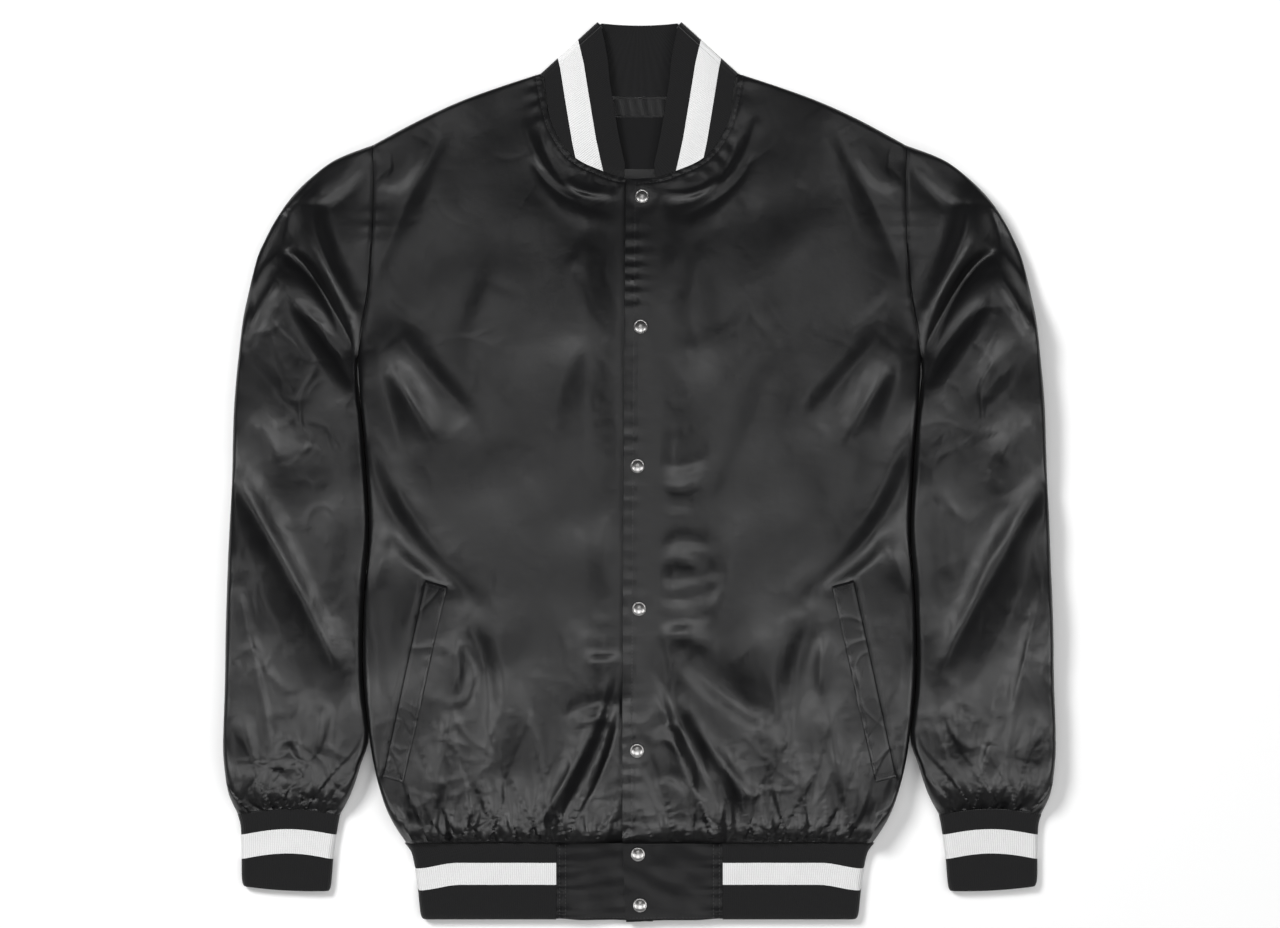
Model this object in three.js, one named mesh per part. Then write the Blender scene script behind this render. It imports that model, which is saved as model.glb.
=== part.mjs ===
// A satin bomber jacket laid flat on its back, front up, sleeves down beside the body.
// Millimetres. X runs across the jacket, towards the wearer's left arm. Y runs from hem to collar. Z is up.
// The origin is on the surface that the jacket lies on, in the middle of its outline.
import * as THREE from "three";

// Driving sizes
const CLOTH = 2; // satin with its quilted lining
const RIB = 2.6; // doubled rib knit
const SEAM_GAP = 0.3;
const BODY_LOFT = 24; // height of the laid body
const NECK_LOFT = 9; // it lies thinner towards the neck
const BAND_LOFT = 12; // height of the laid hem and cuff ribs
const SEAM_HEIGHT = 0.38; // a side seam's height, as a share of the loft beside it
const ROLL = 0.34; // plan width of a rolled edge, as a share of the loft
const LEAST_ROLL = 6;
const HEM_SEAM_Y = -316.3;
const HEM_Y = -381.5;
const CUFF_SEAM_Y = -292;
const LAP_DROP = CLOTH + 2; // how far the under front lies below the over front
const NECK_CENTRE_Y = 355;

// A table with named columns, as a list of rows.
function table(columns, rows) {
  const names = columns.split(" ");
  return rows.map((row) => Object.fromEntries(names.map((name, i) => [name, row[i]])));
}

// Smooth value of one column at a fractional row number, between rows first and last.
function columnAt(rows, name, at, first = 0, last = rows.length - 1) {
  const i = Math.min(Math.max(Math.floor(at), first), last - 1);
  const t = at - i;
  const pick = (k) => rows[Math.min(Math.max(k, first), last)][name];
  const [a, b, c, d] = [pick(i - 1), pick(i), pick(i + 1), pick(i + 2)];
  return b + 0.5 * t * (c - a + t * (2 * a - 5 * b + 4 * c - d + t * (3 * (b - c) + d - a)));
}

const lerp = (a, b, t) => a + (b - a) * t;
const smooth = (low, high, x) => {
  const t = Math.min(Math.max((x - low) / (high - low), 0), 1);
  return t * t * (3 - 2 * t);
};
const range = (n, f) => Array.from({ length: n }, (_, i) => f(i));

const rollWidth = (loft) => Math.max(ROLL * loft, LEAST_ROLL);

// How far a rolled edge has risen at a plan distance from the outline, 0 to 1.
function rolled(distance, width) {
  const left = 1 - Math.min(distance / width, 1);
  return Math.sqrt(Math.max(0, 1 - left * left));
}

// Plan distance from a point to a line of points.
function distanceTo(line, x, y) {
  let best = Infinity;
  for (let i = 0; i + 1 < line.length; i++) {
    const [ax, ay] = line[i];
    const [dx, dy] = [line[i + 1][0] - ax, line[i + 1][1] - ay];
    const t = Math.min(Math.max(((x - ax) * dx + (y - ay) * dy) / (dx * dx + dy * dy), 0), 1);
    best = Math.min(best, Math.hypot(x - ax - t * dx, y - ay - t * dy));
  }
  return best;
}

// Front neckline of one side, from the centre front to the neck point on the shoulder
const NECKLINE = table("x y", [
  [-11.5, 249.5],
  [16.6, 251.8],
  [33.6, 257.5],
  [50.6, 265],
  [63.3, 276],
  [74.4, 295],
  [80.3, 316],
  [84.6, 340],
]);

// Rows of one front, from the hem seam up: where each starts at the front edge and ends at the side seam,
// then at the armhole. Above the front edge the rows start on the neckline.
const FRONT_ROWS = table("inX inY outX outY", [
  [-14.5, HEM_SEAM_Y, 199, HEM_SEAM_Y],
  [-14.5, -300, 208.5, -301],
  [-14.5, -280, 217.3, -281],
  [-14.5, -250, 225.8, -251],
  [-14.5, -215, 230.6, -220],
  [-14.3, -160, 235, -170],
  [-14, -95, 234.4, -112],
  [-13.7, -30, 230.2, -55],
  [-13.3, 35, 232.3, 3],
  [-13, 100, 237.3, 58],
  [-12.5, 152, 240, 97],
  [-12, 200, 230.5, 150],
  [-11.5, 249.5, 227.3, 188],
  [31, 257, 226.2, 214],
  [62, 275, 225.9, 237],
  [79, 311, 226, 258],
  [84.6, 340, 226.5, 278],
]);
const ARMPIT_ROW = 10;
const NECK_ROW = 12;
const TOP_ROW = FRONT_ROWS.length - 1;
const SHOULDER_BOW = 4.5; // the shoulder line is a little convex

function neckAt(share) {
  const at = share * (NECKLINE.length - 1);
  return [columnAt(NECKLINE, "x", at), columnAt(NECKLINE, "y", at)];
}

function innerAt(row) {
  if (row > NECK_ROW) return neckAt((row - NECK_ROW) / (TOP_ROW - NECK_ROW));
  return [columnAt(FRONT_ROWS, "inX", row, 0, NECK_ROW), columnAt(FRONT_ROWS, "inY", row, 0, NECK_ROW)];
}

function outerAt(row) {
  const [first, last] = row < ARMPIT_ROW ? [0, ARMPIT_ROW] : [ARMPIT_ROW, TOP_ROW];
  return [columnAt(FRONT_ROWS, "outX", row, first, last), columnAt(FRONT_ROWS, "outY", row, first, last)];
}

// A plan point on a front, by row and share of the way from the front edge to the side.
function frontPlan(row, share) {
  const [ax, ay] = innerAt(row);
  const [bx, by] = outerAt(row);
  const bow = SHOULDER_BOW * smooth(NECK_ROW, TOP_ROW, row) * Math.sin(Math.PI * share);
  return [lerp(ax, bx, share) + bow * 0.4, lerp(ay, by, share) + bow];
}

const SIDE_EDGE = range(41, (i) => outerAt((i * ARMPIT_ROW) / 40));
const SHOULDER_EDGE = range(13, (i) => frontPlan(TOP_ROW, i / 12));

// Folds that both sides have, written for the wearer's left: a line of three points, the half width of the
// fold, and its height, which is negative for a trough.
const PAIR_FOLDS = table("x1 y1 x2 y2 x3 y3 width height", [
  [278, 226, 271, 190, 243, 130, 10, 8],
  [297, 222, 316, 184, 335, 144, 13, -8],
  [300, 184, 272, 158, 242, 97, 9, -8],
  [305, 172, 319, 146, 337, 114, 9, 6],
  [304, 166, 282, 108, 251, 62, 16, 4],
  [291, 144, 262, 112, 241, 76, 9, -5],
  [336, 100, 306, 62, 266, 32, 14, 3],
  [330, 44, 316, 28, 308, 8, 14, -3],
  [344, 0, 302, -76, 256, -167, 16, -6],
  [338, -60, 312, -130, 282, -190, 14, 3],
  [337, -210, 333, -226, 328, -246, 12, -3],
  [270, -198, 272, -217, 277, -238, 12, -3.5],
  [299, -230, 296, -242, 289, -266, 9, -3],
  [168, 288, 193, 240, 224, 168, 13, -3.5],
  [181, 280, 203, 249, 219, 251, 9, 2.5],
  [206, 114, 176, 80, 145, 44, 12, 4],
  [212, 88, 196, 62, 177, 30, 11, -4],
  [226, 104, 213, 60, 206, 10, 12, 3],
  [229, 10, 198, -54, 141, -110, 11, 5],
  [204, -70, 184, -88, 156, -100, 9, -3.5],
  [229, -100, 218, -76, 205, -56, 11, -3],
  [145, -135, 131, -178, 135, -245, 11, 4],
  [156, -143, 156, -162, 154, -184, 9, -3.5],
  [162, -207, 167, -238, 173, -272, 10, -3.5],
]);

// Folds of the fronts that are not in pairs
const FRONT_FOLDS = table("x1 y1 x2 y2 x3 y3 width height", [
  [-18, -180, -38, -242, -73, -301, 7, 6],
  [13, -164, 43, -228, 74, -300, 8, 5],
  [6, -246, 18, -276, 28, -302, 7, 4],
  [40, -157, 72, -186, 112, -212, 11, 4],
  [36, -190, 62, -236, 92, -276, 9, -4],
  [-124, 159, -134, 136, -142, 112, 14, 3],
  [96, 130, 70, 112, 40, 102, 14, 3],
  [14, -102, 40, -112, 64, -96, 9, 3],
  [14, -142, 40, -140, 60, -150, 8, -3],
]);

// Height that the folds add at a plan point.
function foldsAt(x, y) {
  const sum = (folds, px) =>
    folds.reduce((total, fold) => {
      const line = [[fold.x1, fold.y1], [fold.x2, fold.y2], [fold.x3, fold.y3]];
      const d = distanceTo(line, px, y) / fold.width;
      return d > 3 ? total : total + fold.height * Math.exp(-d * d);
    }, 0);
  const lapCalm = lerp(0.1, 1, smooth(15, 32, Math.abs(x)));
  return (sum(PAIR_FOLDS, Math.abs(x)) + sum(FRONT_FOLDS, x)) * lapCalm;
}

// How far the under front lies below the over one, by the place across it.
const lapDrop = (x, drop) => drop * (1 - smooth(16, 48, x));
const frontDrop = (x, y) => lapDrop(x, LAP_DROP + 3.5 * (1 - smooth(16, 40, y - HEM_SEAM_Y)));

// Gathers along the hem seam: the place of each crest on one side, in from the front edge
const HEM_GATHERS = [26, 47, 73, 88, 109, 121, 139, 151, 163, 182, 195];
const GATHER_HEIGHT = 3;
const GATHER_REACH = 30;

// Ripple of a run of crests at a place along it, -1 to 1.
function rippleAt(crests, place) {
  const next = crests.findIndex((crest) => crest > place);
  if (next < 1) return 0;
  const t = (place - crests[next - 1]) / (crests[next] - crests[next - 1]);
  return Math.cos(2 * Math.PI * t);
}

function hemGathersAt(x, y) {
  const up = y - HEM_SEAM_Y;
  const fan = Math.abs(x) - 0.1 * up * (Math.abs(x) / 200);
  const reach = Math.exp(-up / GATHER_REACH) * smooth(-2, 7, up);
  return GATHER_HEIGHT * reach * rippleAt(HEM_GATHERS, fan);
}

// Height of the laid body before its folds, at a plan point.
function bodyLoft(x, y) {
  const full = lerp(NECK_LOFT, BODY_LOFT, smooth(80, 220, Math.hypot(x, y - NECK_CENTRE_Y)));
  const up = Math.max(y - HEM_SEAM_Y, 0);
  return lerp(Math.min(full, BAND_LOFT), full, rolled(up, 20));
}

// How far the body's cloth has risen from its fold edges, 0 at the outline to 1.
function bodyRise(x, y) {
  const width = rollWidth(bodyLoft(x, y));
  return rolled(distanceTo(SIDE_EDGE, Math.abs(x), y), width) * rolled(distanceTo(SHOULDER_EDGE, Math.abs(x), y), width);
}

// Outer height of the fronts.
function frontHeight(x, y) {
  const loft = bodyLoft(x, y);
  const seam = SEAM_HEIGHT * loft + SEAM_GAP / 2;
  return seam + (loft + foldsAt(x, y) + hemGathersAt(x, y) - seam) * bodyRise(x, y);
}

// Outer height of the back, which lies on the surface and turns up at its edges.
function backHeight(x, y) {
  return (SEAM_HEIGHT * bodyLoft(x, y) - SEAM_GAP / 2) * (1 - bodyRise(x, y));
}

// Triangles between two rows of points, which may differ in number. Closed rows are loops. Each point's
// share along its row says which points of the other row it meets.
function zip(a, b, startA, startB, closed) {
  const made = [];
  const stepsA = closed ? a.length : a.length - 1;
  const stepsB = closed ? b.length : b.length - 1;
  const shareOf = (row, i, steps) => (i >= steps ? 1 : (row[i].share ?? i / steps));
  let [i, j] = [0, 0];
  while (i < stepsA || j < stepsB) {
    const [ia, jb] = [startA + (i % a.length), startB + (j % b.length)];
    if (j >= stepsB || (i < stepsA && shareOf(a, i + 1, stepsA) <= shareOf(b, j + 1, stepsB))) {
      made.push([ia, startA + ((i + 1) % a.length), jb]);
      i++;
    } else {
      made.push([ia, startB + ((j + 1) % b.length), jb]);
      j++;
    }
  }
  return made;
}

// A closed wall of one thickness below its outer rows of points. The rows run so that the outer face shows
// its front where flip is false. The function keep can hold an edge's points square to their seam.
function wall(rows, thickness, { closed = false, flip = false, keep = () => {} } = {}) {
  const outer = rows.flat();
  const starts = rows.map((_, k) => rows.slice(0, k).reduce((n, row) => n + row.length, 0));
  let faces = range(rows.length - 1, (k) => zip(rows[k], rows[k + 1], starts[k], starts[k + 1], closed)).flat();
  if (flip) faces = faces.map(([a, b, c]) => [a, c, b]);

  const normals = outer.map(() => new THREE.Vector3());
  for (const [a, b, c] of faces) {
    const ab = outer[b].clone().sub(outer[a]);
    const normal = ab.cross(outer[c].clone().sub(outer[a]));
    for (const v of [a, b, c]) normals[v].add(normal);
  }
  rows.forEach((row, k) => row.forEach((_, i) => keep(normals[starts[k] + i], k, i, row.length)));
  const inner = outer.map((p, i) => p.clone().addScaledVector(normals[i].normalize(), -thickness));

  const seen = new Set(faces.flatMap(([a, b, c]) => [`${a},${b}`, `${b},${c}`, `${c},${a}`]));
  const n = outer.length;
  const rim = [...seen].flatMap((key) => {
    const [a, b] = key.split(",").map(Number);
    return seen.has(`${b},${a}`) ? [] : [[b, a, a + n], [b, a + n, b + n]];
  });
  const back = faces.map(([a, b, c]) => [a + n, c + n, b + n]);
  const geometry = new THREE.BufferGeometry();
  const points = [...outer, ...inner].flatMap((p) => [p.x, p.y, p.z]);
  geometry.setAttribute("position", new THREE.Float32BufferAttribute(points, 3));
  geometry.setIndex([...faces, ...rim, ...back].flat());
  geometry.computeVertexNormals();
  return { geometry, outer, faces };
}

// Height and face normal of a wall's outer face under a plan point.
function faceUnder({ outer, faces }, x, y) {
  let best = null;
  for (const [ia, ib, ic] of faces) {
    const [a, b, c] = [outer[ia], outer[ib], outer[ic]];
    const area = (b.x - a.x) * (c.y - a.y) - (c.x - a.x) * (b.y - a.y);
    if (Math.abs(area) < 1e-9) continue;
    const u = ((b.x - x) * (c.y - y) - (c.x - x) * (b.y - y)) / area;
    const v = ((c.x - x) * (a.y - y) - (a.x - x) * (c.y - y)) / area;
    const w = 1 - u - v;
    if (Math.min(u, v, w) < -1e-6) continue;
    const z = u * a.z + v * b.z + w * c.z;
    const normal = b.clone().sub(a).cross(c.clone().sub(a)).normalize();
    if (!best || z > best.z) best = { z, normal: normal.z < 0 ? normal.negate() : normal };
  }
  return best;
}

// Places across a width: close together where each end rolls over, and even between.
const ROLL_STEPS = [0, 0.06, 0.24, 0.55, 1];
function acrossShares(width, rollA, rollB, between) {
  const [a, b] = [ROLL_STEPS.map((s) => s * rollA), ROLL_STEPS.map((s) => width - s * rollB).reverse()];
  const [from, to] = [rollA ? a.at(-1) : 0, rollB ? b[0] : width];
  const middle = range(between + 1, (i) => lerp(from, to, i / between));
  const places = [...(rollA ? a.slice(0, -1) : []), ...middle, ...(rollB ? b.slice(1) : [])];
  return places.map((p) => p / width);
}

const satin = new THREE.MeshStandardMaterial({ color: 0x17171a, roughness: 0.38, metalness: 0 });
const knit = new THREE.MeshStandardMaterial({ color: 0x141415, roughness: 0.9, metalness: 0 });
const facingCloth = new THREE.MeshStandardMaterial({ color: 0x101012, roughness: 0.7, metalness: 0 });
const metal = new THREE.MeshStandardMaterial({ color: 0x9a9a9a, roughness: 0.3, metalness: 1 });

const jacket = new THREE.Group();
function add(name, geometry, material) {
  const mesh = new THREE.Mesh(geometry, material);
  mesh.name = name;
  jacket.add(mesh);
  return mesh;
}

// Rows of a front: many columns where the hem gathers are, fewer above.
const FRONT_STOPS = table("row columns", [
  [0, 40],
  [0.4, 40],
  [0.9, 40],
  [1.6, 40],
  [2.4, 22],
  [3, 14],
  [3.6, 14],
  [4.4, 12],
  [5, 12],
  [5.6, 12],
  [6.2, 12],
  [6.8, 12],
  [7.4, 12],
  [8, 12],
  [8.6, 12],
  [9.2, 12],
  [9.7, 12],
  [10, 12],
  [10.4, 12],
  [11, 12],
  [11.5, 12],
  [12, 12],
  [12.5, 12],
  [13, 12],
  [13.5, 12],
  [14, 10],
  [14.5, 10],
  [15, 10],
  [15.45, 10],
  [15.75, 10],
  [15.94, 10],
  [16, 10],
]);
const COLLAR_START_ROW = 12.5; // the collar's front end, beside the lap

// One front. The under front drops below the over front where the two lap.
function front(side, under) {
  const rows = FRONT_STOPS.map(({ row, columns }) => {
    const [a, b] = [innerAt(row), outerAt(row)];
    const width = Math.hypot(b[0] - a[0], b[1] - a[1]);
    const roll = rollWidth(bodyLoft(b[0], b[1]));
    const gap = row > ARMPIT_ROW ? SEAM_GAP / width : 0;
    const lap = row < COLLAR_START_ROW ? [0, 9, 18, 27] : [];
    const from = lap.length ? 36 / width : 0;
    const rest = acrossShares(width * (1 - from), 0, roll, columns - lap.length).map((s) => lerp(from, 1, s));
    return [...lap.map((place) => place / width), ...rest].map((share) => {
      const [x, y] = frontPlan(row, share * (1 - gap));
      const drop = under ? frontDrop(x, y) : 0;
      return new THREE.Vector3(side * x, y, frontHeight(side * x, y) - drop);
    });
  });
  const keep = (normal, k, i, count) => {
    const armhole = FRONT_STOPS[k].row > ARMPIT_ROW;
    if (i === count - 1 && armhole) normal.x = 0;
    if ((i === count - 1 && !armhole) || k === rows.length - 1) normal.z = 0;
    if (k === 0) normal.y = 0;
    if (i === 0 && FRONT_STOPS[k].row >= NECK_ROW && k < rows.length - 1) normal.set(0, 0, 1);
  };
  return wall(rows, CLOTH, { flip: side < 0, keep });
}

// The back: rows that are straight at the hem and follow the shoulders and back neck at the top.
const BACK_NECK = table("x y", [
  [0, 320],
  [45, 322.5],
  [68, 326],
  [78, 332],
  [84.6, 340],
]);

function backNeckAt(share) {
  const at = share * (BACK_NECK.length - 1);
  return [columnAt(BACK_NECK, "x", at), columnAt(BACK_NECK, "y", at)];
}

const NECK_COLUMNS = 5;
const SHOULDER_COLUMNS = 4;
const BACK_STOPS = [0, 0.5, 2, 4, 5, 6, 6.6, 7.2, 8, 9, 10, 10.2, 10.6, 11.6, 13, 14.4, 15.3, 15.75, 16];

function back() {
  // The top line of one half, from the centre back to the shoulder point.
  const top = [
    ...range(NECK_COLUMNS, (i) => backNeckAt(i / NECK_COLUMNS)),
    ...acrossShares(155, 0, rollWidth(BODY_LOFT), SHOULDER_COLUMNS).map((share) => frontPlan(TOP_ROW, share)),
  ];
  const topEnd = top.at(-1);
  const half = (row) => {
    const [outX, outY] = outerAt(row);
    const rise = smooth(0, TOP_ROW, row) ** 1.5;
    const reach = outX - (row > ARMPIT_ROW ? SEAM_GAP : 0);
    return top.map(([x, y]) => [x * (reach / topEnd[0]), outY + (y - topEnd[1]) * rise]);
  };
  const rows = BACK_STOPS.map((row) => {
    const right = half(row);
    const left = right.slice(1).reverse().map(([x, y]) => [-x, y]);
    return [...left, ...right].map(([x, y]) => new THREE.Vector3(x, y, backHeight(x, y)));
  });
  const keep = (normal, k, i, count) => {
    const armhole = BACK_STOPS[k] > ARMPIT_ROW;
    const side = i === 0 || i === count - 1;
    const shoulder = k === rows.length - 1 && Math.abs(rows[k][i].x) > BACK_NECK.at(-1).x - 1;
    if (side && armhole) normal.x = 0;
    if ((side && !armhole) || shoulder) normal.z = 0;
    if (k === 0 || (k === rows.length - 1 && !shoulder)) normal.y = 0;
  };
  return wall(rows, CLOTH, { flip: true, keep });
}

// Rings of the wearer's left sleeve, from armhole to cuff: the outer fold, the inner fold beside the body,
// and the loft between them.
const SLEEVE_RINGS = table("outX outY inX inY loft", [
  [226.5, 278, 240, 97, 24],
  [258, 265.5, 241, 92, 25],
  [281, 248.5, 241, 85, 26],
  [298, 231, 240.5, 77, 27],
  [310, 214, 239.4, 68, 27],
  [319, 197, 238.3, 57, 27],
  [326, 180, 236.8, 46, 27],
  [334, 146, 234.8, 26, 27],
  [339, 112, 232.9, 3, 27],
  [344, 61, 231.1, -27, 27],
  [346, 10, 230.8, -55, 27],
  [349, -58, 233.8, -95, 27],
  [351.5, -126, 235.9, -145, 27],
  [352.5, -177, 234.8, -185, 27],
  [354, -228, 231.2, -226, 27],
  [353, -250, 238, -250, 26],
  [350, -274, 246, -274, 21],
  [343, CUFF_SEAM_Y, 255.5, CUFF_SEAM_Y, BAND_LOFT],
]);
const CUFF_ARCH = 5; // the cuff seam arches up between its folds
const ARMPIT_ROLL = 13; // the inner fold is rounder at the armpit
const CUFF_GATHERS = [8, 22, 34, 47, 59, 70, 79];
const SLEEVE_STOPS = [
  0, 0.8, 1.6, 2.4, 3.2, 4, 4.8, 5.6, 6.4, 7.2, 8, 8.8, 9.6, 10.5, 11.4, 12.3, 13.2, 14, 14.7, 15.4, 16, 16.5, 17,
];

// A plan point on the sleeve, by ring and share of the way from the outer fold to the inner one. The first
// ring runs along the armhole, and the next ones straighten.
function sleevePlan(ring, share) {
  const at = (name, r) => columnAt(SLEEVE_RINGS, name, r);
  const [holeX, holeY] = outerAt(lerp(TOP_ROW, ARMPIT_ROW, share));
  const bend = 1 - smooth(0, 5, ring);
  const bendX = (holeX - lerp(at("outX", 0), at("inX", 0), share)) * bend;
  const bendY = (holeY - lerp(at("outY", 0), at("inY", 0), share)) * bend;
  const arch = CUFF_ARCH * smooth(15, 17, ring) * Math.sin(Math.PI * share);
  return [
    lerp(at("outX", ring), at("inX", ring), share) + bendX,
    lerp(at("outY", ring), at("inY", ring), share) + bendY + arch,
  ];
}

function sleeve(side) {
  const last = SLEEVE_RINGS.length - 1;
  const rows = SLEEVE_STOPS.map((ring) => {
    const [a, b] = [sleevePlan(ring, 0), sleevePlan(ring, 1)];
    const width = Math.hypot(b[0] - a[0], b[1] - a[1]);
    const loft = columnAt(SLEEVE_RINGS, "loft", ring);
    const roll = rollWidth(loft);
    const inRoll = lerp(ARMPIT_ROLL, roll, smooth(0, 6, ring));
    const seam = SEAM_HEIGHT * loft;
    const reach = smooth(14.6, 16.6, ring) * (1 - 0.6 * smooth(16.6, 17, ring));
    const place = (share, top) => {
      const [x, y] = sleevePlan(ring, share);
      const own = rolled(share * width, roll) * rolled((1 - share) * width, inRoll);
      const rise = lerp(bodyRise(...sleevePlan(0, share)), own, smooth(0, 1.6, ring));
      const gather = 2.4 * reach * rippleAt(CUFF_GATHERS, share * 85);
      const high = seam + (loft + foldsAt(side * x, y) + gather - seam) * rise;
      const point = new THREE.Vector3(side * (x + (ring === 0 ? SEAM_GAP : 0)), y, top ? high : seam * (1 - rise));
      point.share = top ? share / 2 : 1 - share / 2;
      return point;
    };
    const alongHole = (stops) => stops.map((row) => (TOP_ROW - row) / (TOP_ROW - ARMPIT_ROW)).reverse();
    const frontHole = alongHole(FRONT_STOPS.map(({ row }) => row).filter((row) => row >= ARMPIT_ROW));
    const backHole = alongHole(BACK_STOPS.filter((row) => row >= ARMPIT_ROW));
    const above = ring === 0 ? frontHole : acrossShares(width, roll, inRoll, ring > 14.6 ? 14 : 7);
    const below = (ring === 0 ? backHole : acrossShares(width, roll, inRoll, 2)).slice(1, -1).reverse();
    return [...above.map((s) => place(s, true)), ...below.map((s) => place(s, false))];
  });
  const keep = (normal, k) => {
    if (k === 0) normal.x = 0;
    if (k === rows.length - 1) normal.y = 0;
  };
  return wall(rows, CLOTH, { closed: true, flip: side < 0, keep });
}

// Rings of a cuff, for the wearer's left: its outer fold, its inner fold and its height.
const CUFF_RINGS = table("outX outY inX inY loft", [
  [343, CUFF_SEAM_Y - SEAM_GAP, 255.5, CUFF_SEAM_Y - SEAM_GAP, BAND_LOFT],
  [340.4, -303, 257.6, -303, 11.6],
  [339.8, -326, 261, -326, 11],
  [339.7, -344, 262.8, -347, 10.6],
  [339, -350.6, 263.8, -354.4, 10],
  [337.8, -353.4, 265.2, -357.4, 9.4],
]);

function cuff(side) {
  const rows = CUFF_RINGS.map(({ outX, outY, inX, inY, loft }, k) => {
    const width = outX - inX;
    const arch = lerp(CUFF_ARCH, -1.5, smooth(0, 4, k));
    const place = (share, top) => {
      const rise = rolled(share * width, loft / 2) * rolled((1 - share) * width, loft / 2);
      const [x, y] = [lerp(outX, inX, share), lerp(outY, inY, share) + arch * Math.sin(Math.PI * share)];
      const point = new THREE.Vector3(side * x, y, (loft / 2) * (top ? 1 + rise : 1 - rise));
      point.share = top ? share / 2 : 1 - share / 2;
      return point;
    };
    const roll = loft / 2;
    const above = acrossShares(width, roll, roll, k === 0 ? 14 : 5);
    const below = acrossShares(width, roll, roll, k === 0 ? 2 : 3).slice(1, -1).reverse();
    return [...above.map((s) => place(s, true)), ...below.map((s) => place(s, false))];
  });
  const keep = (normal, k) => {
    if (k === 0) normal.y = 0;
  };
  return wall(rows, RIB, { closed: true, flip: side < 0, keep });
}

// The hem rib runs round the back from one tab to the other. Half width of its side folds, by height.
const HEM_SIDES = table("y x loft", [
  [HEM_SEAM_Y - SEAM_GAP, 200.5, BAND_LOFT],
  [-325, 194.6, BAND_LOFT],
  [-340, 191.4, BAND_LOFT],
  [-358, 189, BAND_LOFT],
  [-374, 187.4, BAND_LOFT],
  [-379.5, 186.2, 11],
  [HEM_Y, 184.6, 9.6],
]);
const TAB_END_X = 71;

function hemRib() {
  const rows = HEM_SIDES.map(({ y, x, loft }) => {
    const half = loft / 2;
    const turn = range(7, (i) => {
      const angle = (Math.PI * i) / 6;
      return [x - half + half * Math.sin(angle), half + half * Math.cos(angle)];
    });
    const front = range(6, (i) => [lerp(TAB_END_X, x - half, i / 6), loft]);
    const under = range(6, (i) => [lerp(x - half, 0, (i + 1) / 6), 0]);
    const one = [...front, ...turn, ...under];
    const other = one.slice(0, -1).reverse().map(([px, z]) => [-px, z]);
    return [...one, ...other].map(([px, z]) => new THREE.Vector3(px, y, z));
  });
  const keep = (normal, k, i, count) => {
    if (k === 0) normal.y = 0;
    if (i === 0 || i === count - 1) normal.x = 0;
  };
  return wall(rows, RIB, { flip: true, keep });
}

// A satin tab at one front end of the hem. The under one passes below the over one.
const TAB_CLOTH = 2.4;
const TAB_ROWS = table("y inX height", [
  [HEM_SEAM_Y - SEAM_GAP, -14.3, BAND_LOFT],
  [-328, -13.9, BAND_LOFT + 0.5],
  [-352, -13, BAND_LOFT + 0.5],
  [-374, -12, BAND_LOFT],
  [-382, -11.3, BAND_LOFT - 0.8],
]);

function hemTab(side, under) {
  const rows = TAB_ROWS.map(({ y, inX, height }, k) => {
    const last = k === TAB_ROWS.length - 1;
    return range(8, (i) => {
      const x = lerp(inX, TAB_END_X - SEAM_GAP, i / 7);
      const drop = under ? lapDrop(x, TAB_CLOTH + 0.9) : 0;
      const corner = last ? -1.6 * (1 - smooth(0, 3, i)) + 1.4 * smooth(5, 7, i) : 0;
      return new THREE.Vector3(side * x, y + corner, height - drop);
    });
  });
  const keep = (normal, k, i, count) => {
    if (k === 0) normal.y = 0;
    if (i === count - 1) normal.x = 0;
  };
  return wall(rows, TAB_CLOTH, { flip: side > 0, keep });
}

// The collar is one strip of rib. Its seam edge follows the neck. Its free edge stands at the back and falls
// to the front. At each neck point it turns over in a soft fold.
const COLLAR_EDGE = table("x y rise", [
  [12.4, 262.5, 0.4],
  [14.6, 272, 1],
  [18, 288, 1.6],
  [21, 306, 2.2],
  [24.6, 328, 2.6],
  [28.4, 352, 2.6],
  [36, 384.2, 1.6],
]);
const COLLAR_ACROSS = [0, 0.12, 0.35, 0.6, 0.85, 0.96, 1];
const COLLAR_FOLD = 4.6; // radius of the fold

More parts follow.
